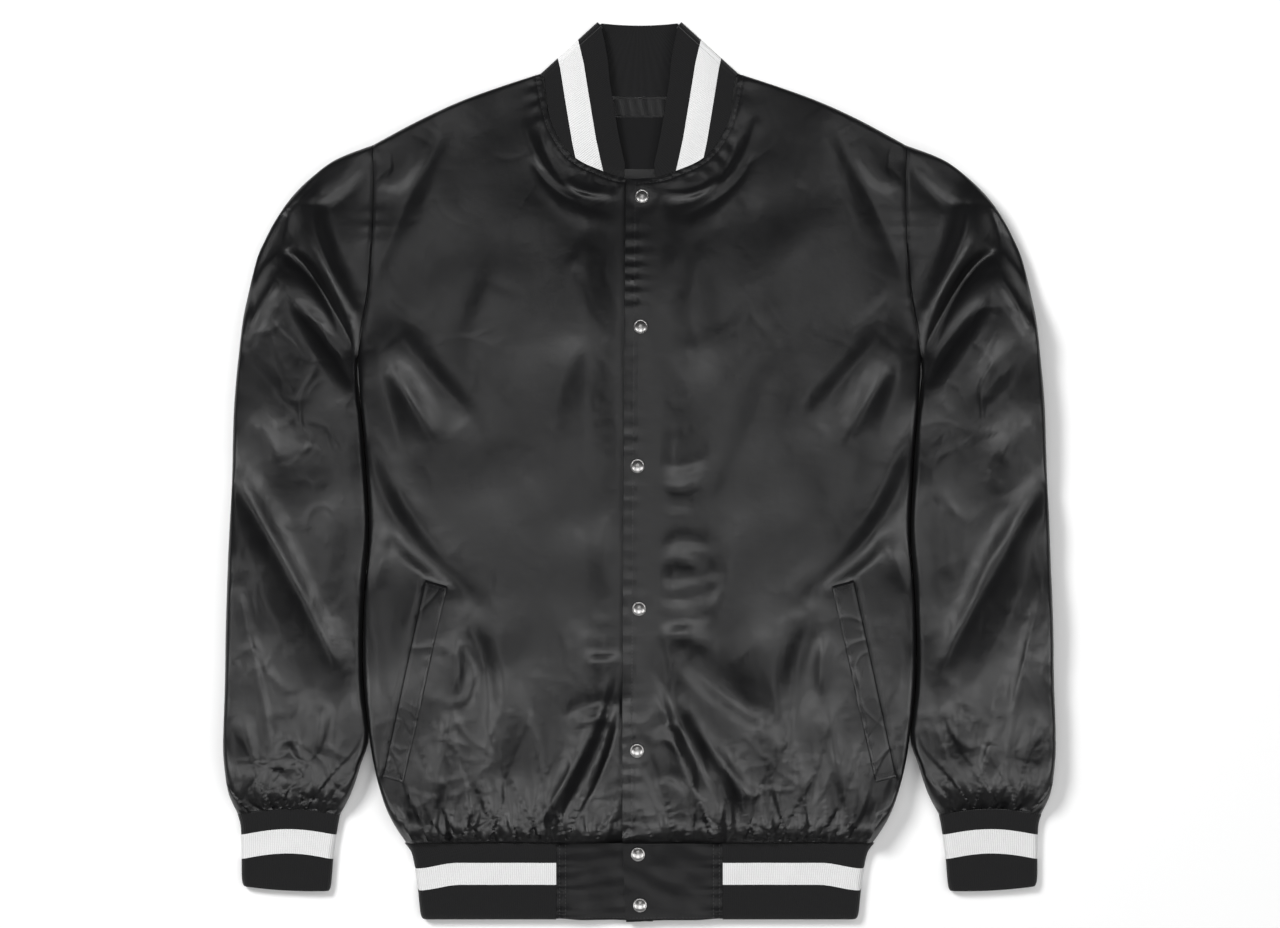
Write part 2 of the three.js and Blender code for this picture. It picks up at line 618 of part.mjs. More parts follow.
function collar() {
  const fold = {
    seam: [NECKLINE.at(-1).x, NECKLINE.at(-1).y],
    free: [COLLAR_EDGE.at(-1).x, COLLAR_EDGE.at(-1).y],
  };
  const length = Math.hypot(fold.free[0] - fold.seam[0], fold.free[1] - fold.seam[1]);
  const out = [(fold.free[1] - fold.seam[1]) / length, (fold.seam[0] - fold.free[0]) / length];
  const flapRows = FRONT_STOPS.map(({ row }) => row).filter((row) => row >= COLLAR_START_ROW && row < TOP_ROW);
  const flap = (side) =>
    flapRows.map((row) => {
      const [sx, sy] = innerAt(row);
      const s = (row - COLLAR_START_ROW) / (TOP_ROW - COLLAR_START_ROW);
      const at = (name) => columnAt(COLLAR_EDGE, name, s * (COLLAR_EDGE.length - 1));
      const frontZ = frontHeight(side * sx, sy) - (side < 0 ? frontDrop(sx, sy) : 0);
      const seamZ = lerp(frontZ, 2 * COLLAR_FOLD, smooth(0.6, 1, s));
      return COLLAR_ACROSS.map((t) => {
        const [fx, fy] = [at("x"), at("y")];
        const toEdge = [fx - sx, fy - sy];
        const reach = Math.hypot(...toEdge);
        const tt = (SEAM_GAP + t * (reach - SEAM_GAP)) / reach;
        const back = COLLAR_FOLD * smooth(0.7, 1, s);
        const z = lerp(seamZ, 2 * COLLAR_FOLD + at("rise"), smooth(0, 0.5, tt));
        return new THREE.Vector3(side * (lerp(sx, fx, tt) - out[0] * back), lerp(sy, fy, tt) - out[1] * back, z);
      });
    });
  const turn = (side) =>
    range(5, (i) => {
      const angle = (Math.PI * i) / 4;
      return COLLAR_ACROSS.map((t) => {
        const r = COLLAR_FOLD - 0.15;
        const [px, py] = [lerp(fold.seam[0], fold.free[0], t), lerp(fold.seam[1], fold.free[1], t)];
        const push = r * Math.sin(angle) - r;
        return new THREE.Vector3(side * (px + out[0] * push), py + out[1] * push, r + r * Math.cos(angle));
      });
    });
  const behind = range(2 * NECK_COLUMNS - 1, (i) => {
    const u = (i + 1 - NECK_COLUMNS) / NECK_COLUMNS;
    const [sx, sy] = backNeckAt(Math.abs(u));
    const [fx, fy] = [lerp(0, 34, Math.abs(u)), lerp(381.5, 383.6, u * u)];
    return COLLAR_ACROSS.map((t) => {
      const tt = lerp(SEAM_GAP / 60, 1, t);
      return new THREE.Vector3(Math.sign(u) * lerp(sx, fx, tt), lerp(sy, fy, tt), 0);
    });
  });
  const rows = [...flap(-1), ...turn(-1), ...behind, ...turn(1).reverse(), ...flap(1).reverse()];
  const keep = (normal, k, i) => {
    const inTurn = (j) => j >= flapRows.length && j < flapRows.length + 5;
    if (i === 0 && !inTurn(k) && !inTurn(rows.length - 1 - k)) normal.set(0, 0, Math.sign(normal.z));
  };
  return wall(rows, RIB, { keep });
}

// Snaps close the front: the places of their caps
const SNAP_PLACES = table("x y", [
  [2.1, 234.6],
  [0.9, 123.3],
  [-1.7, 5.1],
  [-0.4, -116],
  [-2.1, -236.3],
  [-1.3, -325.6],
  [0.4, -368.9],
]);
const CAP_RADIUS = 6;
const CAP_PROFILE = table("radius height", [
  [0, 0],
  [5.2, 0],
  [6, 0.5],
  [6, 1.2],
  [5.4, 1.7],
  [4.8, 1.5],
  [3.2, 2.1],
  [0, 2.5],
]);

function snapCap(place, cloth) {
  const profile = CAP_PROFILE.map(({ radius, height }) => new THREE.Vector2(radius, height));
  const geometry = new THREE.LatheGeometry(profile, 14).rotateX(Math.PI / 2);
  const seat = faceUnder(cloth, place.x, place.y);
  const above = range(16, (i) => {
    const [dx, dy] = [Math.cos(i), Math.sin(i)].map((v) => v * CAP_RADIUS * (i % 2 ? 1 : 0.5));
    const plane = seat.z - (seat.normal.x * dx + seat.normal.y * dy) / seat.normal.z;
    return faceUnder(cloth, place.x + dx, place.y + dy).z - plane;
  });
  const turn = new THREE.Quaternion().setFromUnitVectors(new THREE.Vector3(0, 0, 1), seat.normal);
  geometry.applyQuaternion(turn);
  return geometry.translate(place.x, place.y, seat.z + SEAM_GAP + Math.max(0, ...above));
}

// A pocket welt lies on its front, made from the front's own points and moved out.
const WELT = table("topX topY lowX lowY", [
  [163, -97, 200, -263.5],
  [182, -92, 218, -258.5],
]);
const WELT_CLOTH = 1.6;

function welt(side, cloth) {
  const rows = range(15, (k) =>
    range(4, (i) => {
      const [t, u] = [k / 14, i / 3];
      const x = side * lerp(lerp(WELT[0].topX, WELT[1].topX, u), lerp(WELT[0].lowX, WELT[1].lowX, u), t);
      const y = lerp(lerp(WELT[0].topY, WELT[1].topY, u), lerp(WELT[0].lowY, WELT[1].lowY, u), t);
      const near = [[0, 0], [3, 0], [-3, 0], [0, 6], [0, -6]].map(([dx, dy]) => faceUnder(cloth, x + dx, y + dy).z);
      return new THREE.Vector3(x, y, Math.max(...near) + SEAM_GAP + WELT_CLOTH);
    }),
  );
  return wall(rows, WELT_CLOTH, { flip: side > 0 });
}

// The strip and the plain label that lie on the back inside the neck
function neckPiece(halfWidth, lowY, highY, thickness, wave) {
  const columns = wave ? 17 : 3;
  const rows = range(3, (k) =>
    range(columns, (i) => {
      const u = i / (columns - 1);
      const ripple = wave * (0.5 + 0.5 * Math.sin(u * 26 + k * 0.6));
      return new THREE.Vector3(lerp(-halfWidth, halfWidth, u), lerp(lowY, highY, k / 2), CLOTH + SEAM_GAP + thickness + ripple);
    }),
  );
  return wall(rows, thickness, {});
}

for (const [name, side] of [["left", 1], ["right", -1]]) {
  add(`sleeve_${name}`, sleeve(side).geometry, satin);
  add(`cuff_${name}`, cuff(side).geometry, knit);
}
const frontLeft = front(1, false);
const frontRight = front(-1, true);
add("front_left", frontLeft.geometry, satin);
add("front_right", frontRight.geometry, satin);
add("back", back().geometry, satin);

for (const [name, side, cloth] of [["left", 1, frontLeft], ["right", -1, frontRight]]) {
  add(`pocket_welt_${name}`, welt(side, cloth).geometry, satin);
}
add("hem_rib", hemRib().geometry, knit);
const tabLeft = hemTab(1, false);
add("hem_tab_left", tabLeft.geometry, satin);
add("hem_tab_right", hemTab(-1, true).geometry, satin);
add("collar", collar().geometry, knit);
add("neck_strip", neckPiece(34, 304.5, 318.5, 1, 0.8).geometry, satin);
add("neck_label", neckPiece(22, 259, 303, 0.8, 0).geometry, facingCloth);
SNAP_PLACES.forEach((place, i) => {
  const cloth = place.y < HEM_SEAM_Y ? tabLeft : frontLeft;
  add(`snap_cap_${i + 1}`, snapCap(place, cloth), metal);
});

export default jacket;
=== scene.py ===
# %% [markdown]
# # A satin bomber jacket, laid flat
# The jacket lies on its back with its front up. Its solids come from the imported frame. This script dresses
# them: each cloth piece becomes a fine shell with the jacket's folds, and the ribs, stripes, stitches and
# snap caps are added. The shells are worked out in millimetres and turned into metres when a mesh is made.

# %% Load the frame
import math

import bpy
import numpy as np
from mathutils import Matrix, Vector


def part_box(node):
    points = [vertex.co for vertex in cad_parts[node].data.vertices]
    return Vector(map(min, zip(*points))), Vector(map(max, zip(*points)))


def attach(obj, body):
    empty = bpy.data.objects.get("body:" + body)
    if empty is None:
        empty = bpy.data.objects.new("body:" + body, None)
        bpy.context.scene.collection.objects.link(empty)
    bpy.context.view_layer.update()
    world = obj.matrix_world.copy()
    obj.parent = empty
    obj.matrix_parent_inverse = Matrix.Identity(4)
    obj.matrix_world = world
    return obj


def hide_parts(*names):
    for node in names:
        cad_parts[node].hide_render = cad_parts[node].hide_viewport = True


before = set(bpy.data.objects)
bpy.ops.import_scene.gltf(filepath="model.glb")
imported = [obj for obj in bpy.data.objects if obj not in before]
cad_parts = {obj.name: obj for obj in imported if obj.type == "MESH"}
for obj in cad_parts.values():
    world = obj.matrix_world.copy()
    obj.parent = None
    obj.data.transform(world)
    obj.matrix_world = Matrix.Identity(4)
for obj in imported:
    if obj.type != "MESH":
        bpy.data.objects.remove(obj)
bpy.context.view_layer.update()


def placed(name, data):
    """A new object in the scene, at the origin."""
    made = bpy.data.objects.new(name, data)
    bpy.context.scene.collection.objects.link(made)
    return made



# %% [markdown]
# ## Camera
# The picture looks straight down, and one of its pixels is 0.85 mm of the jacket. A long lens far above keeps
# both sleeves as square to the picture as they are there. A short one would show the outer sides of the thick
# body, which can't be seen.

# %% Camera
MM = 0.001
MM_PER_PIXEL = 0.85
PHOTO_WIDTH, PHOTO_HEIGHT = 1280, 928
PHOTO_CENTRE_X, PHOTO_CENTRE_Y = 639.5, 472
LENS_MM, SENSOR_MM = 90, 36
LOFT_SEEN = 0.018  # the height, in metres, at which a pixel is that size

camera_data = bpy.data.cameras.new("camera")
camera_data.lens = LENS_MM
camera_data.sensor_width = SENSOR_MM
camera = placed("camera", camera_data)
bpy.context.scene.camera = camera
camera.location = (
    (PHOTO_WIDTH / 2 - PHOTO_CENTRE_X) * MM_PER_PIXEL * MM,
    (PHOTO_CENTRE_Y - PHOTO_HEIGHT / 2) * MM_PER_PIXEL * MM,
    PHOTO_WIDTH * MM_PER_PIXEL * MM * LENS_MM / SENSOR_MM + LOFT_SEEN,
)
print("camera height:", round(camera.location.z, 3))

# %% [markdown]
# ## Sizes
# These are the jacket's own sizes, in millimetres. X runs across it, towards the wearer's left arm. Y runs
# from hem to collar. Z is up.

# %% Driving sizes
CLOTH = 2.0  # satin and its lining
RIB = 2.6  # doubled knit
SEAM_GAP = 0.3  # between neighbouring pieces
BODY_LOFT = 24  # how high the laid body stands, and then its neck and its bands
NECK_LOFT = 9
BAND_LOFT = 12
SEAM_HEIGHT = 0.38  # where front and back meet, as a share of the loft
ROLL = 0.34  # how wide a fold edge is, as a share of the loft
LEAST_ROLL = 6
ARMPIT_ROLL = 13  # the sleeve's inner fold edge at the armpit is wider
HEM_SEAM_Y = -316.3
HEM_Y = -381.5
CUFF_SEAM_Y = -292
LAP_DROP = CLOTH + 2  # how far the under front lies below the over one
HEM_DROP = 3.5  # and how much more at the hem, where the tabs lap
NECK_CENTRE_Y = 355
SHOULDER_BOW = 4.5  # how far the shoulder line bows up
CUFF_ARCH = 5  # how far the cuff's seam arches up
SLEEVE_END = 85  # width of the sleeve above its cuff


def table(columns, rows):
    """A table with named columns: a dict of arrays."""
    return {name: np.array([row[i] for row in rows], float) for i, name in enumerate(columns.split())}


FRONT_ROWS = table("in_x in_y out_x out_y", [
    (-14.5, HEM_SEAM_Y, 199, HEM_SEAM_Y),
    (-14.5, -300, 208.5, -301),
    (-14.5, -280, 217.3, -281),
    (-14.5, -250, 225.8, -251),
    (-14.5, -215, 230.6, -220),
    (-14.3, -160, 235, -170),
    (-14, -95, 234.4, -112),
    (-13.7, -30, 230.2, -55),
    (-13.3, 35, 232.3, 3),
    (-13, 100, 237.3, 58),
    (-12.5, 152, 240, 97),
    (-12, 200, 230.5, 150),
    (-11.5, 249.5, 227.3, 188),
    (31, 257, 226.2, 214),
    (62, 275, 225.9, 237),
    (79, 311, 226, 258),
    (84.6, 340, 226.5, 278),
])
ARMPIT_ROW, NECK_ROW, TOP_ROW = 10, 12, 16

NECKLINE = table("x y", [
    (-11.5, 249.5),
    (16.6, 251.8),
    (33.6, 257.5),
    (50.6, 265),
    (63.3, 276),
    (74.4, 295),
    (80.3, 316),
    (84.6, 340),
])

BACK_NECK = table("x y", [
    (0, 320),
    (45, 322.5),
    (68, 326),
    (78, 332),
    (84.6, 340),
])

SLEEVE_RINGS = table("out_x out_y in_x in_y loft", [
    (226.5, 278, 240, 97, 24),
    (258, 265.5, 241, 92, 25),
    (281, 248.5, 241, 85, 26),
    (298, 231, 240.5, 77, 27),
    (310, 214, 239.4, 68, 27),
    (319, 197, 238.3, 57, 27),
    (326, 180, 236.8, 46, 27),
    (334, 146, 234.8, 26, 27),
    (339, 112, 232.9, 3, 27),
    (344, 61, 231.1, -27, 27),
    (346, 10, 230.8, -55, 27),
    (349, -58, 233.8, -95, 27),
    (351.5, -126, 235.9, -145, 27),
    (352.5, -177, 234.8, -185, 27),
    (354, -228, 231.2, -226, 27),
    (353, -250, 238, -250, 26),
    (350, -274, 246, -274, 21),
    (343, CUFF_SEAM_Y, 255.5, CUFF_SEAM_Y, BAND_LOFT),
])

# %% [markdown]
# ## Folds
# On the real jacket the folds come from the cloth's weight and from how it was put down. A cloth simulation
# would make folds, but not these ones in these places, so each is listed: a soft ridge or trough along a
# line of three points. The first table holds the folds that both sides of the jacket have, written for the
# wearer's left. The others belong to one side.

# %% Folds
FOLD_COLUMNS = "x1 y1 x2 y2 x3 y3 width height"
PAIR_FOLDS = table(FOLD_COLUMNS, [
    (278, 226, 271, 190, 243, 130, 10, 8),
    (297, 222, 316, 184, 335, 144, 13, -8),
    (300, 184, 272, 158, 242, 97, 9, -8),
    (305, 172, 319, 146, 337, 114, 9, 6),
    (304, 166, 282, 108, 251, 62, 16, 4),
    (291, 144, 262, 112, 241, 76, 9, -5),
    (336, 100, 306, 62, 266, 32, 14, 3),
    (330, 44, 316, 28, 308, 8, 14, -3),
    (344, 0, 302, -76, 256, -167, 16, -6),
    (338, -60, 312, -130, 282, -190, 14, 3),
    (337, -210, 333, -226, 328, -246, 12, -3),
    (270, -198, 272, -217, 277, -238, 12, -3.5),
    (299, -230, 296, -242, 289, -266, 9, -3),
    (168, 288, 193, 240, 224, 168, 13, -3.5),
    (181, 280, 203, 249, 219, 251, 9, 2.5),
    (206, 114, 176, 80, 145, 44, 12, 4),
    (212, 88, 196, 62, 177, 30, 11, -4),
    (226, 104, 213, 60, 206, 10, 12, 3),
    (229, 10, 198, -54, 141, -110, 11, 5),
    (204, -70, 184, -88, 156, -100, 9, -3.5),
    (229, -100, 218, -76, 205, -56, 11, -3),
    (145, -135, 131, -178, 135, -245, 11, 4),
    (156, -143, 156, -162, 154, -184, 9, -3.5),
    (162, -207, 167, -238, 173, -272, 10, -3.5),
])
FRONT_FOLDS = table(FOLD_COLUMNS, [
    (-18, -180, -38, -242, -73, -301, 7, 6),
    (13, -164, 43, -228, 74, -300, 8, 5),
    (6, -246, 18, -276, 28, -302, 7, 4),
    (40, -157, 72, -186, 112, -212, 11, 4),
    (36, -190, 62, -236, 92, -276, 9, -4),
    (-124, 159, -134, 136, -142, 112, 14, 3),
    (96, 130, 70, 112, 40, 102, 14, 3),
    (14, -102, 40, -112, 64, -96, 9, 3),
    (14, -142, 40, -140, 60, -150, 8, -3),
])
# The finer creases between them, on both sides and then on one
FINE_PAIR_FOLDS = table(FOLD_COLUMNS, [
    (226, 277, 257, 241, 299, 228, 7, 1.6),
    (232, 262, 251, 234, 268, 226, 9, -1.8),
    (320, 243, 345, 207, 353, 156, 27, -9),
    (298, 186, 274, 160, 246, 106, 6, -3),
    (291, 138, 266, 108, 244, 74, 6, -2),
    (345, -8, 304, -78, 262, -158, 8, -2),
    (330, 150, 331, 132, 326, 112, 8, -1.2),
    (306, 100, 290, 58, 262, 34, 11, -1.4),
    (344, 66, 336, 52, 322, 40, 12, 1.2),
    (264, 34, 256, -18, 248, -70, 14, 1.4),
    (346, -28, 334, -50, 316, -84, 11, 1.4),
    (339, -105, 320, -192, 311, -258, 4, -1.4),
    (258, -28, 262, -78, 272, -112, 13, -1.4),
    (250, -178, 256, -206, 262, -234, 9, 1.4),
    (292, -204, 290, -222, 286, -244, 9, 1.4),
    (346, -226, 343, -244, 338, -262, 8, 1.2),
    (146, 306, 172, 262, 190, 214, 13, 1.4),
    (214, 152, 198, 132, 176, 118, 9, -1.4),
    (190, 18, 180, -16, 168, -50, 14, 1.4),
    (222, 26, 206, -14, 190, -40, 10, -1.2),
    (228, -112, 224, -158, 221, -206, 8, 1.2),
    (122, -142, 114, -196, 120, -250, 12, -1.4),
    (102, -226, 98, -262, 90, -302, 8, 1.2),
    (219, -262, 202, -288, 180, -308, 8, 2.4),
])
FINE_FRONT_FOLDS = table(FOLD_COLUMNS, [
    (-84, 286, -60, 242, -13, 231, 5, -2),
    (-98, 296, -76, 254, -40, 236, 3.4, 1.6),
    (-62, 247, -44, 238, -18, 236, 3, 1.4),
    (-90, 262, -64, 234, -22, 222, 4, -1.6),
    (98, 296, 78, 256, 44, 236, 3.4, 1.6),
    (66, 250, 46, 238, 20, 238, 3, 1.4),
    (94, 266, 74, 238, 40, 218, 4, -1.6),
    (-60, -204, -34, -196, -17, -200, 4, 1.8),
    (-52, -214, -34, -210, -17, -214, 3, -1.8),
    (16, -66, 34, -58, 56, -62, 5, 1.8),
    (16, -78, 32, -74, 48, -80, 4, -1.8),
    (16, -92, 36, -90, 66, -84, 6, 1.8),
    (14, -218, 26, -214, 38, -224, 4, 1.8),
    (14, -230, 24, -228, 34, -240, 3, -1.8),
    (14, -262, 24, -258, 36, -266, 4, 1.6),
    (84, 286, 62, 242, 22, 229, 5, -2),
    (-92, 272, -64, 226, -16, 214, 8, 1.4),
    (94, 270, 66, 224, 20, 212, 8, 1.4),
    (-40, -160, -29, -161, -17, -158, 3, -1.8),
    (-42, -152, -29, -153, -16, -150, 4, 1.4),
    (-27, -180, -50, -240, -86, -298, 5, -2.4),
    (-17, -206, -29, -248, -56, -300, 4, -2.2),
    (14, 10, 32, 4, 54, 10, 4, 1.6),
    (14, -8, 31, -14, 50, -10, 4, -1.6),
    (14, -24, 30, -28, 46, -26, 5, 1.2),
    (14, -124, 34, -128, 58, -122, 4, 1.6),
    (14, -112, 34, -114, 56, -108, 3.5, -1.4),
    (18, -198, 35, -246, 60, -300, 4, -2.4),
    (30, -176, 60, -222, 102, -270, 7, 1.4),
    (-43, 194, -49, 184, -57, 172, 9, 1.8),
    (-118, 60, -96, 20, -70, -30, 16, 1.8),
    (108, 70, 92, 20, 66, -30, 16, 1.8),
    (-48, 110, -66, 74, -72, 30, 14, -1.4),
    (60, 190, 46, 150, 50, 112, 12, 1.4),
    (-96, -40, -70, -90, -48, -128, 14, 1.4),
    (84, -50, 72, -90, 66, -130, 14, -1.2),
    (-104, -170, -84, -214, -74, -262, 10, 1.4),
])
# The crests of the gathers: place along the band, how far each runs up, and its height
HEM_GATHERS = table("place reach height", [
    (26, 26, 2.2),
    (36, 14, 1.4),
    (47, 44, 3.2),
    (58, 18, 1.6),
    (73, 60, 3.8),
    (82, 20, 1.8),
    (91, 26, 2.6),
    (99, 16, 1.6),
    (109, 54, 3.8),
    (116, 18, 1.8),
    (123, 30, 2.6),
    (131, 16, 1.6),
    (141, 58, 3.8),
    (148, 20, 1.8),
    (154, 28, 2.4),
    (163, 56, 3.8),
    (171, 18, 1.8),
    (178, 34, 2.8),
    (186, 20, 1.8),
    (193, 40, 2.8),
])
CUFF_GATHERS = table("place reach height", [
    (5, 12, 1.4),
    (10, 30, 2.8),
    (17, 14, 1.4),
    (24, 40, 3.4),
    (30, 16, 1.6),
    (37, 22, 2.4),
    (45, 52, 3.6),
    (51, 16, 1.6),
    (58, 28, 2.8),
    (64, 14, 1.4),
    (71, 46, 3.4),
    (78, 20, 1.8),
    (83, 12, 1.2),
])
WELT = table("top_x top_y low_x low_y", [
    (163, -97, 200, -263.5),
    (182, -92, 218, -258.5),
])
SNAP_PLACES = table("x y", [
    (2.1, 234.6),
    (0.9, 123.3),
    (-1.7, 5.1),
    (-0.4, -116),
    (-2.1, -236.3),
    (-1.3, -325.6),
    (0.4, -368.9),
])
print("folds:", *(len(t["width"]) for t in (PAIR_FOLDS, FRONT_FOLDS, FINE_PAIR_FOLDS, FINE_FRONT_FOLDS)))

# %% [markdown]
# ## Curves and heights
# A table's column is read at any fractional row by a smooth curve through its values. The height of the cloth
# at a place is its rolled edge, plus the loft of the laid body, plus its folds. The solids were made by the
# same rule, so each shell lies on its solid and only adds what is too fine for it.

# %% Curves
def column_at(rows, name, at, first=0, last=None):
    """Smooth value of a column at fractional rows, as a Catmull-Rom curve."""
    values = rows[name]
    last = len(values) - 1 if last is None else last
    at = np.asarray(at, float)
    i = np.clip(np.floor(at).astype(int), first, last - 1)
    t = at - i
    a, b, c, d = (values[np.clip(i + k, first, last)] for k in (-1, 0, 1, 2))
    return b + 0.5 * t * (c - a + t * (2 * a - 5 * b + 4 * c - d + t * (3 * (b - c) + d - a)))


def columns_at(rows, names, at):
    return [column_at(rows, name, at) for name in names.split()]


def lerp(a, b, t):
    return a + (b - a) * t


def smooth(low, high, x):
    t = np.clip((x - low) / (high - low), 0, 1)
    return t * t * (3 - 2 * t)


def roll_width(loft):
    return np.maximum(ROLL * loft, LEAST_ROLL)


def rolled(distance, width):
    left = 1 - np.minimum(distance / width, 1)
    return np.sqrt(np.maximum(0, 1 - left * left))


FULL_EDGE = 4.2  # 2 would be an ellipse; more keeps the cloth level until close to its edge


def folded_edge(distance, width, full):
    """Rise from a fold edge. It is an ellipse where full is 0, and steeper where full is 1."""
    left = 1 - np.minimum(distance / width, 1)
    steep = np.maximum(0, 1 - left**FULL_EDGE) ** (1 / FULL_EDGE)
    return lerp(rolled(distance, width), steep, full)


def distance_to(line, x, y):
    """Plan distance from points to a line of points."""
    best = np.full(np.broadcast(x, y).shape, 1e9)
    for (ax, ay), (bx, by) in zip(line[:-1], line[1:]):
        dx, dy = bx - ax, by - ay
        t = np.clip(((x - ax) * dx + (y - ay) * dy) / (dx * dx + dy * dy), 0, 1)
        best = np.minimum(best, np.hypot(x - ax - t * dx, y - ay - t * dy))
    return best


def neck_at(share):
    return columns_at(NECKLINE, "x y", np.asarray(share) * (len(NECKLINE["x"]) - 1))


def back_neck_at(share):
    return columns_at(BACK_NECK, "x y", np.asarray(share) * (len(BACK_NECK["x"]) - 1))


def inner_at(row):
    """Plan line of a front's inner side: its edge and then the neckline."""
    row = np.asarray(row, float)
    neck_x, neck_y = neck_at(np.maximum(row - NECK_ROW, 0) / (TOP_ROW - NECK_ROW))
    x, y = (column_at(FRONT_ROWS, name, np.minimum(row, NECK_ROW), 0, NECK_ROW) for name in ("in_x", "in_y"))
    return np.where(row > NECK_ROW, neck_x, x), np.where(row > NECK_ROW, neck_y, y)


def outer_at(row):
    """Plan line of a front's outer side: its side edge and then the armhole."""
    row = np.asarray(row, float)
    made = []
    for name in ("out_x", "out_y"):
        low = column_at(FRONT_ROWS, name, np.minimum(row, ARMPIT_ROW), 0, ARMPIT_ROW)
        high = column_at(FRONT_ROWS, name, np.maximum(row, ARMPIT_ROW), ARMPIT_ROW, TOP_ROW)
        made.append(np.where(row < ARMPIT_ROW, low, high))
    return made


def front_plan(row, share):
    (ax, ay), (bx, by) = inner_at(row), outer_at(row)
    bow = SHOULDER_BOW * smooth(NECK_ROW, TOP_ROW, row) * np.sin(math.pi * share)
    return lerp(ax, bx, share) + bow * 0.4, lerp(ay, by, share) + bow


SIDE_EDGE = np.stack(outer_at(np.linspace(0, ARMPIT_ROW, 81)), 1)
ARMHOLE = np.stack(outer_at(np.linspace(ARMPIT_ROW, TOP_ROW, 25)), 1)
SHOULDER_EDGE = np.stack(front_plan(TOP_ROW, np.linspace(0, 1, 49)), 1)
NECK_EDGE = np.stack(neck_at(np.linspace(0, 1, 29)), 1)
POCKET_MOUTH = np.array([
    (WELT[f"{end}_x"][1] + 1.6, WELT[f"{end}_y"][1] + 0.4) for end in ("top", "low")
])
print("side edge from", SIDE_EDGE[0], "to", SIDE_EDGE[-1])

# %% Heights
def fold_line(folds, i, steps=8):
    """The line of one fold, bent smoothly through its middle point."""
    t = np.linspace(0, 1, steps + 1)
    line = []
    for axis in "xy":
        a, b, c = (folds[f"{axis}{k}"][i] for k in (1, 2, 3))
        line.append(a + t * (4 * b - 3 * a - c) + t * t * (2 * a - 4 * b + 2 * c))
    return np.stack(line, 1)


def beside(line, x, y):
    """Plan distance from points to a line, which side of it they lie on, and how far along it."""
    best, side, share = np.full(x.shape, 1e9), np.zeros(x.shape), np.zeros(x.shape)
    for i, ((ax, ay), (bx, by)) in enumerate(zip(line[:-1], line[1:])):
        dx, dy = bx - ax, by - ay
        t = np.clip(((x - ax) * dx + (y - ay) * dy) / (dx * dx + dy * dy), 0, 1)
        d = np.hypot(x - ax - t * dx, y - ay - t * dy)
        turn = (dx * (y - ay) - dy * (x - ax)) / math.hypot(dx, dy) / np.maximum(d, 1e-6)
        side = np.where(d < best, turn, side)
        share = np.where(d < best, (i + t) / (len(line) - 1), share)
        best = np.minimum(best, d)
    return best, side, share


def folds_height(folds, x, y):
    """Ridges are round and lean to one side. Troughs are narrower at the bottom, as creased cloth is."""
    total = np.zeros(np.broadcast(x, y).shape)
    for i in range(len(folds["width"])):
        line, width, height = fold_line(folds, i), folds["width"][i], folds["height"][i]
        reach = 4.5 * width
        near = (x > line[:, 0].min() - reach) & (x < line[:, 0].max() + reach)
        near &= (y > line[:, 1].min() - reach) & (y < line[:, 1].max() + reach)
        d, side, share = beside(line, x[near], y[near])
        fade = 0.5 + 0.75 * np.sin(math.pi * share) ** 0.6
        if height > 0:
            d = d / (width * (1.3 + 0.4 * side))
            total[near] += fade * height * np.exp(-d * d)
        else:
            total[near] += fade * height * np.exp(1.5 * (0.4 - np.sqrt((d / width) ** 2 + 0.16)))
    return total


DEEPEST = -9  # where troughs cross, they level off below this


def all_folds(x, y):
    both = folds_height(PAIR_FOLDS, np.abs(x), y) + folds_height(FINE_PAIR_FOLDS, np.abs(x), y)
    one = folds_height(FRONT_FOLDS, x, y) + folds_height(FINE_FRONT_FOLDS, x, y)
    drape = 1.8 * soft_noise(x, y, 120, 3) + 0.7 * soft_noise(x, y, 52, 4)
    calm = lerp(lerp(0.1, 0.55, smooth(-110, -190, y)), 1, smooth(15, 32, np.abs(x)))
    total = both + one + drape + creases(x, y)
    return (total - 0.65 * np.minimum(total - DEEPEST, 0)) * calm


CREASES = ((90, 11, 1.3), (50, 12, 0.8), (30, 13, 0.4))  # how large, which random waves, how deep


def creases(x, y):
    """Thin crooked creases where the cloth is crushed: low on the body, on the sleeves and beside the front."""
    ax = np.abs(x)
    crushed = 0.25 + 0.75 * smooth(-60, -230, y) + 0.5 * smooth(236, 262, ax) + 0.4 * smooth(70, 30, ax)
    total = 0
    for size, seed, depth in CREASES:
        warp = 0.25 * size
        bent_x = x + warp * soft_noise(x, y, size, seed + 20)
        bent_y = y + warp * soft_noise(x, y, size, seed + 30)
        bent = soft_noise(bent_x, bent_y, size, seed)
        open_here = smooth(-0.2, 0.7, soft_noise(x, y, 1.7 * size, seed + 40))
        total = total - depth * open_here * np.exp(-np.abs(bent) / 0.16)
    return total * crushed


def gathers(crests, place, up):
    """Crests along a gathered seam, each as high and long as its row says."""
    total = np.zeros(np.broadcast(place, up).shape)
    for crest, reach, height in zip(crests["place"], crests["reach"], crests["height"]):
        d = (place - crest) / (3 + 0.09 * np.maximum(up, 0))
        total += 1.6 * height * (np.exp(-d * d) - 0.4) * np.exp(-np.maximum(up, 0) / reach) * (np.abs(d) < 4)
    return total * smooth(-3, 6, up)


HEM_PUFF, CUFF_PUFF = 27, 19  # pitch of the puffs above each band


